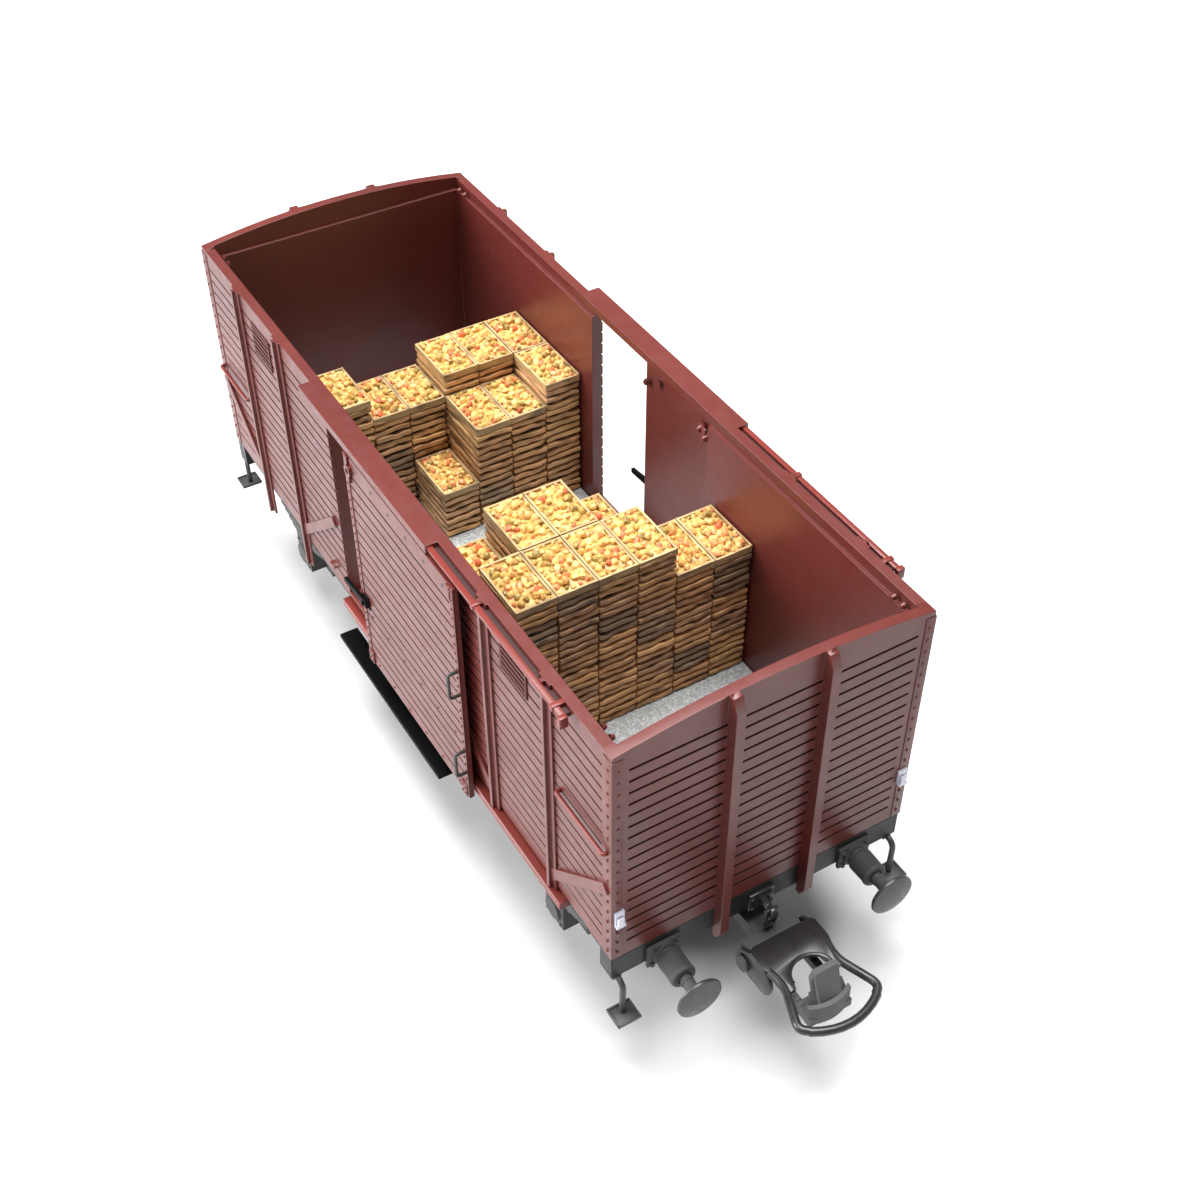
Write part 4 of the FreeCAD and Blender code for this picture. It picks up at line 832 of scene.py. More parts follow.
@dataclass
class SlidingDoor:
    """One planked door with its riveted edges, roller lugs, handles and latch."""

    side: str
    sign: int
    groove_depth: float = 0.16
    rivet: float = 0.15
    rivet_height: float = 0.1
    edge_width: float = 0.7
    edge_inset: float = 0.4
    edge_pitch: float = 0.9975
    bolt_inset: float = 2.0
    bolt_columns: int = 6

    def leaf(self) -> None:
        """Build the planked leaf, with painted shade in its grooves."""
        casting = Casting(f"door_{self.side}", 0.03)
        work = casting.work()
        low, high = box_mm(f"door_{self.side}")
        outer = max(abs(low.y), abs(high.y))
        # Painted shade: faces inside the grooves take the darker coat.
        for face in work.mesh.faces:
            sunk = outer - abs(face.calc_center_median().y)
            if 0.02 < sunk < self.groove_depth + 0.02 and abs(face.normal.x) < 0.5:
                face.material_index = 1
        casting.settle(work, (Coat.RED, Coat.RECESS), "red_moulding")

    def dressing(self) -> None:
        """Build the edge angles, rivets, roller lugs and end hook."""
        low, high = box_mm(f"door_{self.side}")
        outer = max(abs(low.y), abs(high.y))
        work = Work()
        face = outer * self.sign
        out = (0, self.sign, 0)
        proud = 0.08 * self.sign
        lug = face + 2.2 * proud
        rivet = out, self.rivet, self.rivet_height
        rise = high.z - low.z - 2 * self.edge_inset
        rows = int(rise / self.edge_pitch)
        for start, stop in ((low.x, low.x + self.edge_width), (high.x - self.edge_width, high.x)):
            work.block((start, face - proud, low.z + 0.05), (stop, face + proud, high.z - 0.05), 0.03)
            for row in range(rows + 1):
                level = low.z + self.edge_inset + row * rise / rows
                work.stud(((start + stop) / 2, face + proud, level), *rivet)
        spacing = (high.x - low.x - 2 * self.bolt_inset) / (self.bolt_columns - 1)
        columns = [low.x + self.bolt_inset + column * spacing for column in range(self.bolt_columns)]
        for along in columns:
            for level in (low.z + 0.5, low.z + 7.2):
                work.stud((along, face, level), *rivet)
        for along in (low.x + 0.6, high.x - 0.8):
            work.block((along - 0.5, face - proud, low.z), (along + 0.5, lug, low.z + 1.5), 0.05)
            work.block((along - 0.35, face, high.z - 1.4), (along + 0.35, lug, high.z - 0.1), 0.05)
            for step in (-0.28, 0.28):
                for level in (low.z + 0.35, low.z + 1.1):
                    work.stud((along + step, lug, level), out, 0.13, 0.1)
        eye = ((0.0, 0.32), (0.0, 0.6), (0.3, 0.6), (0.3, 0.32), (0.0, 0.32))
        work.lathe(eye, (low.x + 1.0, face, high.z - 1.6), out, 14)
        strap_foot, strap_top = (low.x + 0.7, face - proud), (low.x + 1.15, face + 3 * proud)
        work.block((*strap_foot, high.z - 3.0), (*strap_top, high.z - 1.9), 0.06)
        inner = min(abs(low.y), abs(high.y)) * self.sign
        work.stud((low.x + 0.6, inner, high.z - 3.9), (0, -self.sign, 0), 0.4, 0.3, 12)
        body = f"door_{self.side}_body"
        work.finish(f"door_{self.side}_dressing", body, Coat.RED, "red_moulding")
        # Black studs along the door's top board: painted shade, standing for the dark dots seen there.
        shade_dots = Work()
        for along in columns:
            shade_dots.stud((along, face, high.z - 1.1), out, 0.2, 0.05, 10)
        shade_dots.finish(f"door_{self.side}_top_shade_dots", body, Coat.BLACK, "red_moulding")

    def build(self) -> None:
        """Build every piece of the door."""
        self.leaf()
        self.dressing()
        Casting(f"door_handles_{self.side}", 0.02).finish(Coat.WIRE, "black_wire")
        Casting(f"door_latch_{self.side}", 0.04).finish(Coat.DULL, "black_wire")
        LOG.info("%s door", self.side)


# --- underframe and running gear ----------------------------------------------------------------

@dataclass
class Underframe:
    """Frame, axle guards, brakes, steps and the ballast floor."""

    step_rod: float = 0.28
    rod_bend: float = 0.9
    tread_half: float = 1.05
    tread_rim: float = 0.16
    foot_half: float = 0.45

    def castings(self) -> None:
        """Build the moulded parts under the floor."""
        Casting("underframe", 0.07).finish(Coat.HEADSTOCK, "black_moulding")
        Casting("ballast_plate", 0.05).finish(Coat.FLOOR, "ballast_steel")
        Casting("brake_shoes", 0.08).finish(Coat.BLACK, "black_moulding")
        Casting("brake_rigging", 0.05).finish(Coat.BLACK, "black_moulding")
        for side, _ in SIDES:
            Casting(f"running_board_{side}", 0.08).finish(Coat.DULL, "black_moulding")
        for end, _ in ENDS:
            Casting(f"coupler_guide_{end}", 0.06).finish(Coat.DULL, "black_moulding")
            for side, _ in SIDES:
                Casting(f"axle_guard_{end}_{side}", 0.05).finish(Coat.BLACK, "black_moulding")
        LOG.info("underframe castings")

    def guard_bolts(self) -> None:
        """Build the bolts on the axle box covers and guards."""
        low, high = box_mm("axle_guard_front_left")
        centre = (low.x + high.x) / 2
        work = Work()
        for across in (-1.2, 1.2):
            for level in (5.4, 8.0):
                work.stud((centre + across, high.y - 0.3, level), (0, 1, 0), 0.2, 0.16, 6)
        for across in (-3.6, -2.6, 2.6, 3.6):
            work.stud((centre + across, 11.5, 13.1), (0, 1, 0), 0.2, 0.14, 6)
        work.mirrored("X")
        work.mirrored("Y")
        work.finish("guard_bolts", "van", Coat.BLACK, "black_moulding")

    def steps(self) -> None:
        """Build the corner steps: a rimmed plate on a bent rod."""
        for end, forward in ENDS:
            for side, _ in SIDES:
                node = f"shunter_step_{end}_{side}"
                low, high = box_mm(node)
                x_out = high.x if forward > 0 else low.x
                middle_y = (low.y + high.y) / 2
                x_mid = x_out - forward * self.tread_half
                root = x_out - forward * (high.x - low.x - 0.3)
                work = Work()
                work.block(
                    (root, middle_y - self.foot_half, high.z - 0.6),
                    (root + forward * 0.95, middle_y + self.foot_half, high.z),
                    0.05,
                )
                line = turned(
                    (
                        (root + forward * 0.5, middle_y, high.z - 0.3),
                        (x_mid - forward * 0.2, middle_y, high.z - 0.35),
                        (x_mid - forward * 0.25, middle_y, low.z + 0.2),
                    ),
                    self.rod_bend,
                )
                work.bar(line, self.step_rod)
                half, rim = self.tread_half, self.tread_rim
                work.block((x_mid - half, low.y, low.z), (x_mid + half, high.y, low.z + 0.2), 0.05)
                for x0, y0, x1, y1 in (
                    (-half, low.y, half, low.y + rim),
                    (-half, high.y - rim, half, high.y),
                    (-half, low.y, rim - half, high.y),
                    (half - rim, low.y, half, high.y),
                ):
                    work.block((x_mid + x0, y0, low.z), (x_mid + x1, y1, low.z + 0.34), 0.04)
                work.finish(f"{node}_piece", "van", Coat.WIRE, "black_wire", [node])
        LOG.info("corner steps")

    def build(self) -> None:
        """Build every piece of the underframe."""
        self.castings()
        self.guard_bolts()
        self.steps()


@dataclass
class Wheelset:
    """Axle and two wheels that spin together."""

    end: str
    flange: float = 6.7
    tread: float = 5.5
    wheel_inner: float = 7.15
    tread_band: float = 0.12

    def wheel_profile(self) -> list[Point]:
        """Corners of a wheel's section, from its inner face outwards and round through its dish."""
        flange, tread = self.flange, self.tread
        return [
            (0.0, 1.0), (0.0, 1.7), (0.25, 1.9), (0.95, 2.0), (1.0, 4.5), (0.25, 4.7), (0.0, 4.9),
            (0.0, flange - 0.35), (0.12, flange - 0.08), (0.35, flange), (0.62, flange - 0.25),
            (0.85, tread + 0.25), (1.05, tread + 0.03), (2.7, tread - 0.08), (2.8, tread - 0.2),
            (2.8, 4.8), (2.55, 4.6), (1.8, 4.5), (1.75, 2.1), (2.5, 1.8), (2.8, 1.6), (2.8, 1.0), (0.0, 1.0),
        ]

    def build(self) -> None:
        """Build the wheels and the axle."""
        body = f"wheelset_{self.end}"
        low, high = box_mm(f"axle_{self.end}")
        centre_x, centre_z = (low.x + high.x) / 2, (low.z + high.z) / 2
        for side, sign in SIDES:
            node = f"wheel_{self.end}_{side}"
            foot = (centre_x, sign * self.wheel_inner, centre_z)
            work = Work()
            work.lathe(self.wheel_profile(), foot, (0, sign, 0), 48)
            for face in work.mesh.faces:
                middle = face.calc_center_median()
                radius = math.hypot(middle.x - centre_x, middle.z - centre_z)
                if radius > self.tread - self.tread_band:
                    face.material_index = 1
            work.finish(f"{node}_piece", body, (Coat.WHEEL, Coat.TREAD), "wheel_steel", [node])
        work = Work()
        outer = [
            (high.y - inset, radius)
            for inset, radius in ((0.0, 0.0), (0.5, 0.42), (0.9, 0.5), (2.0, 0.5), (2.05, 0.9), (2.15, 1.0))
        ] + [(5.2, 1.0), (4.9, 0.85)]
        profile = [(-along, radius) for along, radius in outer] + outer[::-1]
        work.lathe(profile, (centre_x, 0, centre_z), (0, 1, 0), 24)
        work.finish(f"axle_{self.end}_piece", body, Coat.WHEEL, "wheel_steel", [f"axle_{self.end}"])
        LOG.info("%s wheelset", self.end)


@dataclass
class Buffer:
    """Casing on a bolted base, with its stem and domed head."""

    end: str
    side: str
    forward: int
    base_thick: float = 0.4
    base_half: tuple[float, float] = (1.7, 1.25)
    bolt_y: float = 1.3
    bolt_z: float = 0.85
    face_depth: float = 0.55

    def build(self) -> None:
        """Build the casing and the head."""
        casing, head = f"buffer_casing_{self.end}_{self.side}", f"buffer_head_{self.end}_{self.side}"
        low, high = box_mm(casing)
        y, z = (low.y + high.y) / 2, (low.z + high.z) / 2
        face = low.x if self.forward > 0 else high.x
        axis = (self.forward, 0, 0)
        length = high.x - low.x
        work = Work()
        outer = face + self.forward * self.base_thick
        half_width, half_height = self.base_half
        work.block((face, y - half_width, z - half_height), (outer, y + half_width, z + half_height), 0.08)
        for across in (-self.bolt_y, self.bolt_y):
            for rise in (-self.bolt_z, self.bolt_z):
                work.stud((outer, y + across, z + rise), axis, 0.27, 0.28, 6)
        work.lathe(
            (
                (0.3, 0.0), (0.3, 1.24), (0.62, 1.24), (0.7, 1.16), (0.74, 1.0), (1.0, 0.98), (1.06, 1.1),
                (1.14, 1.17), (1.3, 1.19), (length - 0.5, 1.15), (length - 0.42, 1.2), (length - 0.2, 1.2),
                (length - 0.06, 1.12), (length, 0.98), (length, 0.66), (length - 0.3, 0.62),
                (length - 0.3, 0.0),
            ),
            (face, y, z),
            axis,
        )
        work.finish(f"{casing}_piece", "van", Coat.BLACK, "black_moulding", [casing])
        low, high = box_mm(head)
        foot = low.x if self.forward > 0 else high.x
        reach = high.x - low.x
        work = Work()
        work.lathe(
            (
                (-0.28, 0.0), (-0.28, 0.56), (0.25, 0.56), (0.3, 0.62), (0.5, 0.62), (0.55, 0.56),
                (reach - 1.35, 0.6), (reach - 1.0, 0.85), (reach - 0.72, 1.5), (reach - 0.6, 2.05),
                (reach - 0.5, 2.14), (reach - 0.34, 2.15), (reach - 0.24, 2.1), (reach - 0.12, 1.6),
                (reach - 0.03, 0.8), (reach, 0.0),
            ),
            (foot, y, z),
            axis,
            40,
        )
        for part in work.mesh.faces:
            along = (part.calc_center_median().x - foot) * self.forward
            if along > reach - self.face_depth:
                part.material_index = 1
        work.finish(f"{head}_piece", "van", (Coat.BLACK, Coat.BUFFER_FACE), "buffer_metal", [head])
        LOG.info("buffer %s %s", self.end, self.side)


@dataclass
class DrawHook:
    """Dummy draw hook with its hanging screw link."""

    end: str
    forward: int

    def build(self) -> None:
        """Build the plate, the hook and the link that hangs from it."""
        node = f"draw_hook_{self.end}"
        low, high = box_mm(node)
        face = low.x if self.forward > 0 else high.x
        middle = (low.z + high.z) / 2 - 0.1
        work = Work()

        def ahead(distance: float) -> float:
            """Place along X at a distance out from the end of the van."""
            return face + self.forward * distance

        work.block((face, -1.3, low.z), (ahead(0.35), 1.3, high.z), 0.07)
        for across in (-0.95, 0.95):
            for rise in (-0.65, 0.65):
                work.stud((ahead(0.35), across, middle + rise), (self.forward, 0, 0), 0.2, 0.2, 6)
        outline = (
            (0.3, -0.25), (1.5, -0.25), (1.8, -0.6), (2.25, -0.55), (2.48, 0.0), (2.3, 0.6),
            (1.95, 0.7), (2.0, 0.2), (1.7, 0.1), (1.4, 0.45), (0.3, 0.5),
        )
        work.plate([(ahead(out), -0.3, middle + rise) for out, rise in outline], (0, 0.6, 0), 0.06)
        for across in (-0.5, 0.5):
            arm = (1.75, across, 0.1), (1.9, across, -1.2), (1.7, across * 0.5, -2.0)
            work.bar(turned([(ahead(out), y, middle + rise) for out, y, rise in arm], 0.4), 0.16, 8)
        work.bar(((ahead(1.75), -0.62, middle + 0.1), (ahead(1.75), 0.62, middle + 0.1)), 0.2, 8)
        work.bar(((ahead(1.7), -0.55, middle - 1.95), (ahead(1.7), 0.55, middle - 1.95)), 0.24, 8)
        work.finish(f"{node}_piece", "van", Coat.GLOSS, "gloss_black", [node])
        LOG.info("%s draw hook", self.end)


# --- couplers -----------------------------------------------------------------------------------

@dataclass
class Coupler:
    """Close coupler: swinging head with its upturned hook, and the loop that lifts off it."""

    end: str
    forward: int
    pivot_x: float = 44.2
    pivot_z: float = 10.05
    plate_top: float = 12.15
    hook_front: float = 52.3
    hook_radius: float = 4.3
    hook_half_angle: float = math.radians(30.5)
    hook_profile: tuple[Point, ...] = ((0.0, 9.35), (0.12, 10.6), (0.95, 12.5))
    upright_lean: float = 0.3
    upright_foot: Point = (1.05, 11.9)
    rib_count: int = 7
    rib_pitch: float = 0.55
    cheek_inner: float = 2.97
    cheek_thick: float = 0.5
    wire: float = 0.41

    def x(self, distance: float) -> float:
        """Place along X at a distance ahead of the loop's pivot."""
        return self.forward * (self.pivot_x + distance)

    def hook(self, work: Work) -> None:
        """Add the hook's sloping skirt and its leaning upright to the head.

        Args:
            work: mesh of the head.
        """
        radius, reach = self.hook_radius, self.hook_half_angle
        centre = Vector((self.forward * (self.hook_front - radius - 0.03), 0, 0))
        turn = Matrix.Rotation(-reach, 3, "Z")
        ends = [
            work.mesh.verts.new(centre + turn @ Vector((self.forward * (radius - slope), 0, level)))
            for slope, level in self.hook_profile
        ]
        line = [work.mesh.edges.new(pair) for pair in zip(ends, ends[1:])]
        spun = bmesh.ops.spin(
            work.mesh, geom=ends + line, cent=centre, axis=(0, 0, 1), angle=2 * reach, steps=14,
            use_merge=False,
        )
        faces = faces_of(work.island(verts_in(spun["geom_last"]) + ends))
        bmesh.ops.recalc_face_normals(work.mesh, faces=faces)
        bmesh.ops.solidify(work.mesh, geom=faces, thickness=0.3)
        back, foot = self.upright_foot
        outline = [
            (self.forward * (self.hook_front - back - (z - foot) * self.upright_lean), y, z)
            for y, z in ((-1.4, 11.7), (1.4, 11.7), (1.45, 13.9), (1.0, 14.4), (-1.0, 14.4), (-1.45, 13.9))
        ]
        work.plate(outline, (-0.5 * self.forward, 0, 0), 0.1)

    def head(self) -> None:
        """Build the head from its softened casting, with ribs on its arms and its hook."""
        node = f"coupler_head_{self.end}"
        work = Casting(node, 0.05).work()
        for sign in (-1, 1):
            for step in range(self.rib_count):
                along = self.x(2.6 + step * self.rib_pitch)
                work.block(
                    (along, sign * 1.5, self.pivot_z + 0.1),
                    (along + self.forward * 0.28, sign * 2.15, self.pivot_z + 0.24),
                    0.03,
                    1,
                )
        self.hook(work)
        work.finish(f"{node}_piece", f"coupler_{self.end}", Coat.COUPLER, "coupler_black", [node])

    def loop(self) -> None:
        """Build the lifting loop: cheeks, arched plate and bowed bar."""
        node = f"coupler_loop_{self.end}"
        top, thick = self.plate_top, 0.45
        work = Work()
        mouth = [
            (4.8 - 1.75 * math.sin(angle), 1.9 * math.cos(angle))
            for angle in (math.pi * step / 12 for step in range(13))
        ]
        outline = [(0.55, -3.45), (2.6, -3.45), (3.3, -2.95), (4.2, -2.7), (5.6, -2.75)]
        outline += [(x, -y) for x, y in [(5.55, 2.15)] + mouth + [(5.55, -2.15)]]
        outline += [(5.6, 2.75), (4.2, 2.7), (3.3, 2.95), (2.6, 3.45), (0.55, 3.45), (0.2, 2.9), (0.2, -2.9)]
        work.plate([(self.x(x), y, top - thick) for x, y in outline], (0, 0, thick), 0.1)
        for sign in (-1, 1):
            inner = sign * self.cheek_inner
            cheek = [
                (-1.15, 0.35), (-0.85, 0.95), (-0.2, 1.35), (0.6, 2.0), (2.7, 2.0), (3.3, 1.4), (3.65, 0.3),
                (3.55, -0.6), (3.0, -1.15), (2.2, -1.25), (0.4, -1.33), (-0.6, -1.15), (-1.2, -0.5),
            ]
            outline = [(self.x(x), inner, self.pivot_z + z) for x, z in cheek]
            work.plate(outline, (0, sign * self.cheek_thick, 0), 0.09)
            work.lathe(
                ((0.0, 0.62), (0.0, 1.0), (0.42, 1.0), (0.55, 0.9), (0.55, 0.66), (0.4, 0.62), (0.0, 0.62)),
                (self.x(0.0), inner, self.pivot_z),
                (0, sign, 0),
                24,
            )
        arch = [(self.x(x + 0.12), y * 1.08, top - 0.08) for x, y in mouth]
        work.bar(arch, 0.2, 8)
        bar_z = top - 0.34
        corners = (2.9, 3.02), (4.6, 2.66), (8.9, 4.33), (10.38, 0.0)
        bow = turned([(self.x(x), y, bar_z) for x, y in corners], 1.1, 8)
        low, high = box_mm(node)
        front = (high.x if self.forward > 0 else -low.x) - 0.42
        half = [point for point in bow if point.y > 3.5 or abs(point.x) < self.pivot_x + 8.0]
        half += [
            Vector((self.forward * (front - (y / 3.6) ** 2 * 1.15), y, bar_z))
            for y in (3.4, 2.6, 1.7, 0.85, 0.0)
        ]
        work.bar(half + [Vector((p.x, -p.y, p.z)) for p in reversed(half[:-1])], self.wire)
        work.finish(f"{node}_piece", f"loop_{self.end}", Coat.LOOP, "coupler_loop_metal", [node])

    def build(self) -> None:
        """Build the head and the loop."""
        self.head()
        self.loop()
        LOG.info("%s coupler", self.end)


# --- loads --------------------------------------------------------------------------------------

@dataclass
class CrateLoad:
    """Casting of stacked slatted crates with fruit heaped in every top crate."""

    end: str
    rows: int = 2
    columns: int = 6
    course: float = 0.85
    seam: float = 0.27
    crate_seam: float = 0.38
    slat_inset: float = 0.05
    rim: float = 0.22
    rim_height: float = 0.75
    rim_lean: float = 0.01
    course_shift: float = 0.04
    fruit_columns: int = 10
    fruit_lines: int = 6
    jitter: float = 0.42
    fruit_size: tuple[float, float] = (0.25, 0.52)
    slat_tints: tuple[Colour, ...] = (
        (0.78, 0.45, 0.19), (0.70, 0.39, 0.17), (0.86, 0.52, 0.22), (0.60, 0.36, 0.18),
        (0.42, 0.28, 0.16), (0.72, 0.43, 0.21), (0.80, 0.46, 0.19),
    )
    rim_tint: Colour = (0.60, 0.42, 0.20)
    bed_tint: Colour = (0.60, 0.37, 0.10)
    fruit_tints: tuple[Colour, ...] = (
        (0.80, 0.50, 0.15), (0.78, 0.45, 0.13), (0.82, 0.54, 0.19), (0.70, 0.37, 0.10), (0.76, 0.47, 0.15),
        (0.74, 0.28, 0.10), (0.64, 0.15, 0.06), (0.46, 0.31, 0.07), (0.34, 0.23, 0.06), (0.80, 0.50, 0.17),
        (0.78, 0.40, 0.14), (0.72, 0.43, 0.13),
    )
    chance: random.Random = field(default_factory=lambda: random.Random(7))

    def __post_init__(self) -> None:
        """Read the load's place and the size of one crate from its CAD node."""
        self.node = f"load_{self.end}"
        self.low, self.high = box_mm(self.node)
        self.long = (self.high.x - self.low.x) / self.rows
        self.wide = (self.high.y - self.low.y) / self.columns

    def courses(self, row: int, column: int) -> int:
        """Number of slat courses in a stack, measured down onto the CAD casting."""
        start = Vector((
            self.low.x + (row + 0.5) * self.long,
            self.high.y - (column + 0.5) * self.wide,
            self.high.z + 5.0,
        ))
        hit, place, _, _ = frame["nodes"][self.node].ray_cast(start * MM, Vector((0, 0, -1)))
        return round((place.z / MM - self.low.z) / self.course) if hit else 0

    def slab_template(self) -> bpy.types.Mesh:
        """One course of slats with rounded edges, whose vertices can then be made uneven."""
        mesh = bmesh.new()
        place = Matrix.Diagonal((*self.slab_size(), 1.0))
        bmesh.ops.create_cube(mesh, size=1.0, matrix=place)
        level = [edge for edge in mesh.edges if abs(edge.verts[0].co.z - edge.verts[1].co.z) < 0.1]
        bmesh.ops.subdivide_edges(mesh, edges=level, cuts=4, use_grid_fill=True)
        bevel(mesh, sharp_edges(mesh.edges), 0.09, clamp=False)
        return mesh_from(mesh, "slab_template")

    def slab_size(self) -> Vector:
        """Length, width and height of one course of slats."""
        return Vector((
            self.long - 2 * self.slat_inset, self.wide - 2 * self.slat_inset, self.course - self.seam,
        ))

    def paint_verts(self, work: Work, verts: Iterable[bmesh.types.BMVert], colour: Colour) -> None:
        """Give new vertices one colour with a little chance in its brightness."""
        layer = work.mesh.verts.layers.float_color["tint"]
        value = (*shade(colour, self.chance.uniform(0.86, 1.14)), 1.0)
        for vert in verts:
            vert[layer] = value

    def slab(self, stack: Work, template: bpy.types.Mesh, low: Vector, high: Vector, tint: Colour) -> None:
        """Add one course of slats between two corners, a little uneven.

        Args:
            stack: mesh that takes it.
            template: mesh of one course.
            low: lowest corner of the course.
            high: highest corner of the course.
            tint: its colour.
        """
        count = len(template.vertices)
        stack.mesh.from_mesh(template)
        stack.mesh.verts.ensure_lookup_table()
        verts = stack.mesh.verts[-count:]
        extent, middle = high - low, (low + high) / 2
        usual = self.slab_size()
        seed = self.chance.uniform(0, 50)
        for vert in verts:
            offset = Vector(part * wanted / given for part, wanted, given in zip(vert.co, extent, usual))
            place = middle + offset
            wave = noise.noise(Vector((place.x * 0.9, place.y * 0.9, seed)))
            rough = noise.noise(Vector((place.x * 1.3, place.y * 1.3, seed + 9)))
            place.z += wave * (0.3 if offset.z > 0 else 0.2)
            outward = Vector((offset.x / extent.x, offset.y / extent.y, 0))
            vert.co = place + outward * (0.22 * rough - 0.03)
        self.paint_verts(stack, verts, tint)

    def shade_core(self, stack: Work, low: Vector, high: Vector) -> None:
        """Add a near-black block inside a stack behind its seams: painted shade that makes the gaps between
        slats dark.
        """
        place = Matrix.Translation((low + high) / 2) @ Matrix.Diagonal((
            high.x - low.x - 0.8, high.y - low.y - 0.8, high.z - low.z, 1,
        ))
        made = bmesh.ops.create_cube(stack.mesh, size=1.0, matrix=place)["verts"]
        # Near-black tint: painted shade for the gaps between the slats.
        self.paint_verts(stack, made, (0.02, 0.012, 0.006))

    def rims(self, stack: Work, low: Vector, high: Vector) -> None:
        """Add the thin boards round the top crate."""
        inset = self.slat_inset
        x0, x1, y0, y1 = low.x + inset, high.x - inset, low.y + inset, high.y - inset
        for start, stop in (
            ((x0, y0), (x1, y0 + self.rim)), ((x0, y1 - self.rim), (x1, y1)),
            ((x0, y0), (x0 + self.rim, y1)), ((x1 - self.rim, y0), (x1, y1)),
        ):
            lift = self.chance.uniform(-0.05, 0.05)
            extent = Vector((stop[0] - start[0], stop[1] - start[1], self.rim_height))
            level = high.z - self.rim_height / 2 + lift
            middle = Vector(((start[0] + stop[0]) / 2, (start[1] + stop[1]) / 2, level))
            lean = [self.chance.uniform(-self.rim_lean, self.rim_lean) for _ in range(2)]
            tilt = Euler((*lean, 0)).to_matrix().to_4x4()
            place = Matrix.Translation(middle) @ tilt @ Matrix.Diagonal((*extent, 1))
            made = bmesh.ops.create_cube(stack.mesh, size=1.0, matrix=place)["verts"]
            self.paint_verts(stack, made, self.rim_tint)

    def fruit(self, heap: Work, low: Vector, high: Vector) -> None:
        """Heap fruit into a top crate.

        Args:
            heap: mesh that takes the fruit.
            low: lowest corner of the crate.
            high: highest corner of the crate.
        """
        crate = Work()
        tint = crate.mesh.verts.layers.float_color.new("tint")
        inset = self.slat_inset + self.rim
        x0, x1, y0, y1 = low.x + inset, high.x - inset, low.y + inset, high.y - inset
        across = Vector(((x0 + x1) / 2, (y0 + y1) / 2, high.z - 0.3))
        bed = bmesh.ops.create_grid(
            crate.mesh, x_segments=26, y_segments=16, size=0.5,
            matrix=Matrix.Translation(across) @ Matrix.Diagonal((x1 - x0, y1 - y0, 1, 1)),
        )["verts"]
        for vert in bed:
            reach = min(vert.co.x - x0, x1 - vert.co.x, vert.co.y - y0, y1 - vert.co.y)
            lump = 0.5 + 0.5 * noise.noise(vert.co * 1.5) + 0.25 * noise.noise(vert.co * 3.4)
            vert.co.z += min(0.12 + reach, 0.55) * lump
            # Painted shade and highlight: the bed is darker in its low hollows and lighter on its high
            # lumps.
            vert[tint] = (*shade(self.bed_tint, 0.45 + 0.75 * lump), 1.0)
        columns, lines, jitter = self.fruit_columns, self.fruit_lines, self.jitter
        for column in range(columns):
            for line in range(lines):
                spot = Vector((
                    x0 + (x1 - x0) * (column + 0.5 + self.chance.uniform(-jitter, jitter)) / columns,
                    y0 + (y1 - y0) * (line + 0.5 + self.chance.uniform(-jitter, jitter)) / lines,
                    0,
                ))
                reach = max(0.0, min(spot.x - x0, x1 - spot.x, spot.y - y0, y1 - spot.y))
                size = min(self.chance.uniform(*self.fruit_size), 0.22 + reach * 0.5)
                spot.z = high.z - 0.12 + min(0.22, reach * 0.25) + self.chance.uniform(-0.2, 0.12)
                spin = Euler([self.chance.uniform(0, math.pi) for _ in range(3)]).to_matrix().to_4x4()
                squash = (1.0, self.chance.uniform(0.7, 1.0), self.chance.uniform(0.7, 1.0), 1)
                place = Matrix.Translation(spot) @ spin @ Matrix.Diagonal(squash)
                made = bmesh.ops.create_uvsphere(
                    crate.mesh, u_segments=8, v_segments=5, radius=size, matrix=place
                )["verts"]
                colour = self.chance.choice(self.fruit_tints)
                value = (*shade(colour, self.chance.uniform(0.78, 1.12)), 1.0)
                for vert in made:
                    dent = 1 + 0.28 * noise.noise(vert.co * 2.6)
                    vert.co = spot + (vert.co - spot) * dent
                    vert[tint] = value
        heap.take(crate)

    def build(self) -> None:
        """Build the crates and their fruit."""
        template = self.slab_template()
        crates, heap = Work(), Work()
        for work in (crates, heap):
            work.mesh.verts.layers.float_color.new("tint")
        for row in range(self.rows):
            for column in range(self.columns):
                count = self.courses(row, column)
                if count == 0:
                    continue
                near = self.high.y - (column + 1) * self.wide
                low = Vector((self.low.x + row * self.long, near, self.low.z))
                high = low + Vector((self.long, self.wide, count * self.course))
                stack = Work()
                stack.mesh.verts.layers.float_color.new("tint")
                # Painted shade behind the slat seams.
                self.shade_core(stack, low, high - Vector((0, 0, 0.6)))
                stain = self.chance.choice(self.slat_tints)
                for course in range(count):
                    from_top = count - course
                    if from_top % 3 == 0:
                        stain = self.chance.choice(self.slat_tints)
                    seam = self.crate_seam if from_top % 3 == 0 else self.seam
                    step = self.course_shift
                    shift = Vector((self.chance.uniform(-step, step), self.chance.uniform(-step, step), 0))
                    inset = Vector((self.slat_inset, self.slat_inset, 0))
                    foot = low + Vector((0, 0, course * self.course + seam / 2)) + inset + shift
                    level = low.z + (course + 1) * self.course - self.seam / 2
                    top = Vector((high.x, high.y, level)) - inset + shift
                    if from_top == 1:
                        top.z -= 0.28
                    self.slab(stack, template, foot, top, stain)
                self.rims(stack, low, high)
                bmesh.ops.recalc_face_normals(stack.mesh, faces=stack.mesh.faces)
                crates.take(stack)
                self.fruit(heap, low, high)
        bpy.data.meshes.remove(template)
        body = f"load_{self.end}_body"
        crates.finish(f"{self.node}_crates", body, Coat.SLATS, "crate_resin", [self.node])
        heap.finish(f"{self.node}_fruit", body, Coat.FRUIT, "crate_resin")
        LOG.info("%s load", self.end)


# --- studio -------------------------------------------------------------------------------------

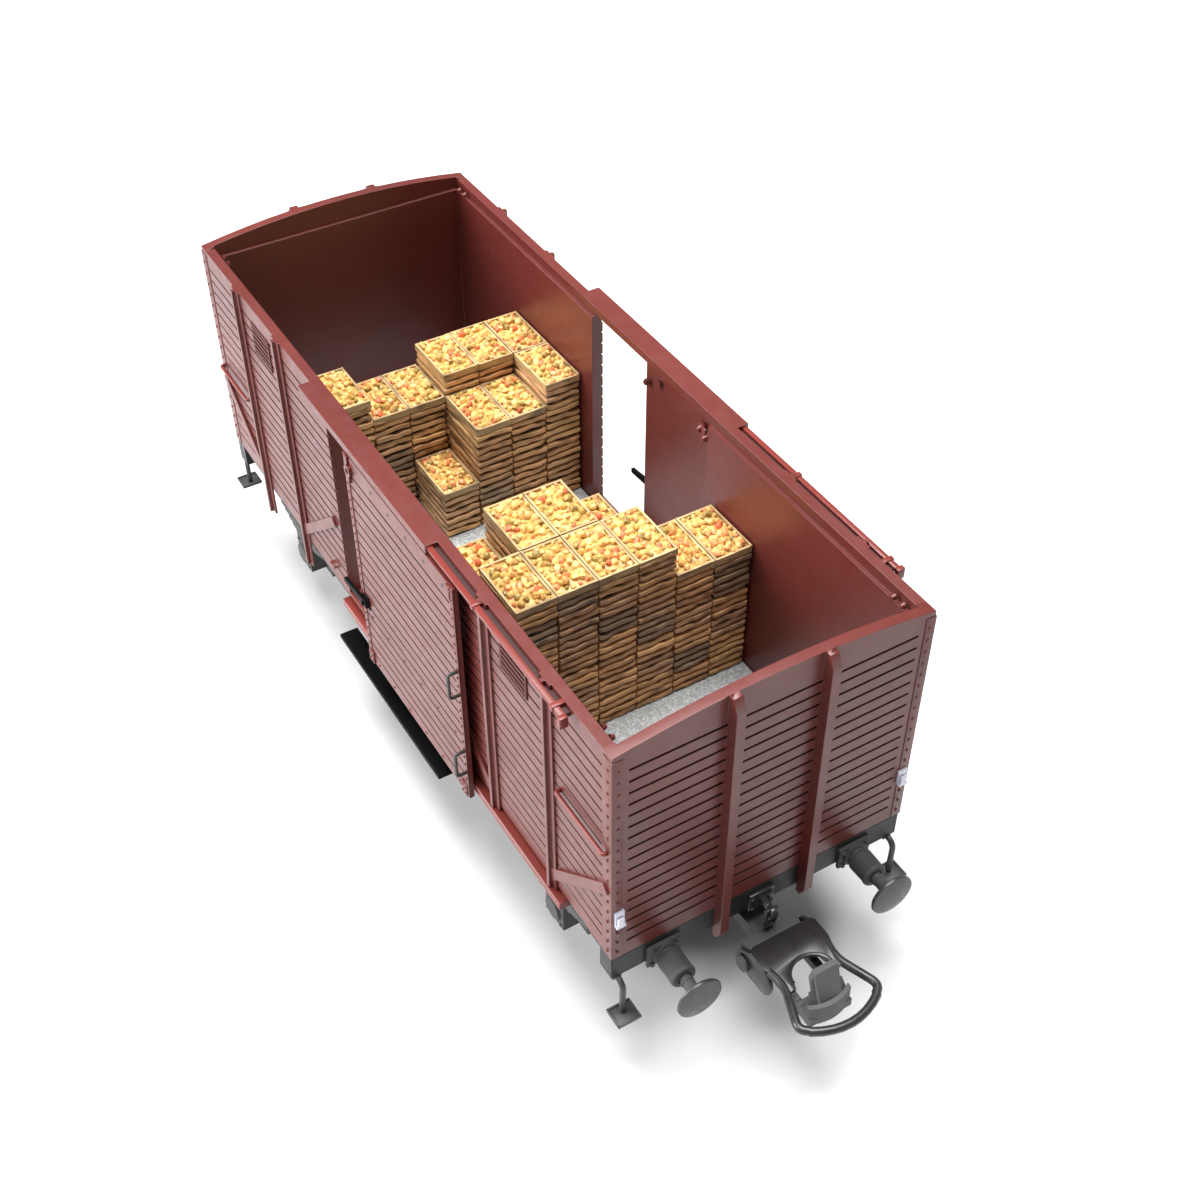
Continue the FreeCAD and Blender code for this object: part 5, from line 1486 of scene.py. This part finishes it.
@dataclass
class Studio:
    """Floor, soft lights and the camera."""

    eye: Point = (0.10773, -0.05578, 0.12980)
    right: Point = (0.52332, 0.85210, 0.00783)
    up: Point = (-0.58032, 0.34965, 0.73551)
    lens: float = 48.94
    shift_x: float = -0.0203
    shift_y: float = -0.0154
    world: float = 0.25
    floor_size: float = 6.0

    def camera(self) -> None:
        """Place the camera at the viewing angle."""
        data = bpy.data.cameras.new("camera")
        data.lens = self.lens
        data.sensor_width = 36.0
        data.shift_x = self.shift_x
        data.shift_y = self.shift_y
        data.clip_start = 0.005
        data.clip_end = 20.0
        camera = placed("camera", data)
        right, up = Vector(self.right).normalized(), Vector(self.up).normalized()
        back = right.cross(up)
        turn = Matrix((right, up, back)).transposed().to_4x4()
        camera.matrix_world = Matrix.Translation(self.eye) @ turn
        bpy.context.scene.camera = camera

    def floor(self) -> None:
        """Lay the plain pale floor."""
        mesh = bmesh.new()
        bmesh.ops.create_grid(mesh, x_segments=1, y_segments=1, size=self.floor_size / 2)
        data = mesh_from(mesh, "floor")
        data.materials.append(Coat.STAGE.paint())
        placed("floor", data)

    def lamp(self, name: str, place: Point, aim: Point, size: float, power: float) -> None:
        """Hang one square soft light.

        Args:
            name: name of the light.
            place: where it hangs, in metres.
            aim: the point it faces.
            size: length of its side.
            power: its power in watts.
        """
        data = bpy.data.lights.new(name, "AREA")
        data.shape = "SQUARE"
        data.size = size
        data.energy = power
        way = Vector(aim) - Vector(place)
        turn = way.to_track_quat("-Z", "Y").to_matrix().to_4x4()
        placed(name, data).matrix_world = Matrix.Translation(place) @ turn

    def build(self) -> None:
        """Set up the whole studio."""
        scene = bpy.context.scene
        scene.view_settings.view_transform = "Standard"
        scene.view_settings.look = "None"
        world = bpy.data.worlds.new("studio")
        world.use_nodes = True
        background = world.node_tree.nodes["Background"]
        background.inputs["Color"].default_value = (1.0, 1.0, 1.0, 1.0)
        background.inputs["Strength"].default_value = self.world
        scene.world = world
        self.floor()
        self.lamp("key", (-0.30, -0.55, 0.32), (0.0, 0.0, 0.02), 0.45, 8.2)
        self.lamp("top", (-0.08, 0.02, 0.90), (0.0, 0.0, 0.0), 0.6, 19.0)
        self.camera()
        LOG.info("studio")


def main() -> None:
    """Build the van, its load and the studio, in order."""
    logging.basicConfig(level=logging.INFO, format="%(message)s")
    Studio().build()
    BodyShell().build()
    for side, sign in SIDES:
        SlidingDoor(side, sign).build()
    Underframe().build()
    for end, forward in ENDS:
        Wheelset(end).build()
        DrawHook(end, forward).build()
        Coupler(end, forward).build()
        CrateLoad(end).build()
        for side, _ in SIDES:
            Buffer(end, side, forward).build()


if __name__ == "__main__":
    main()
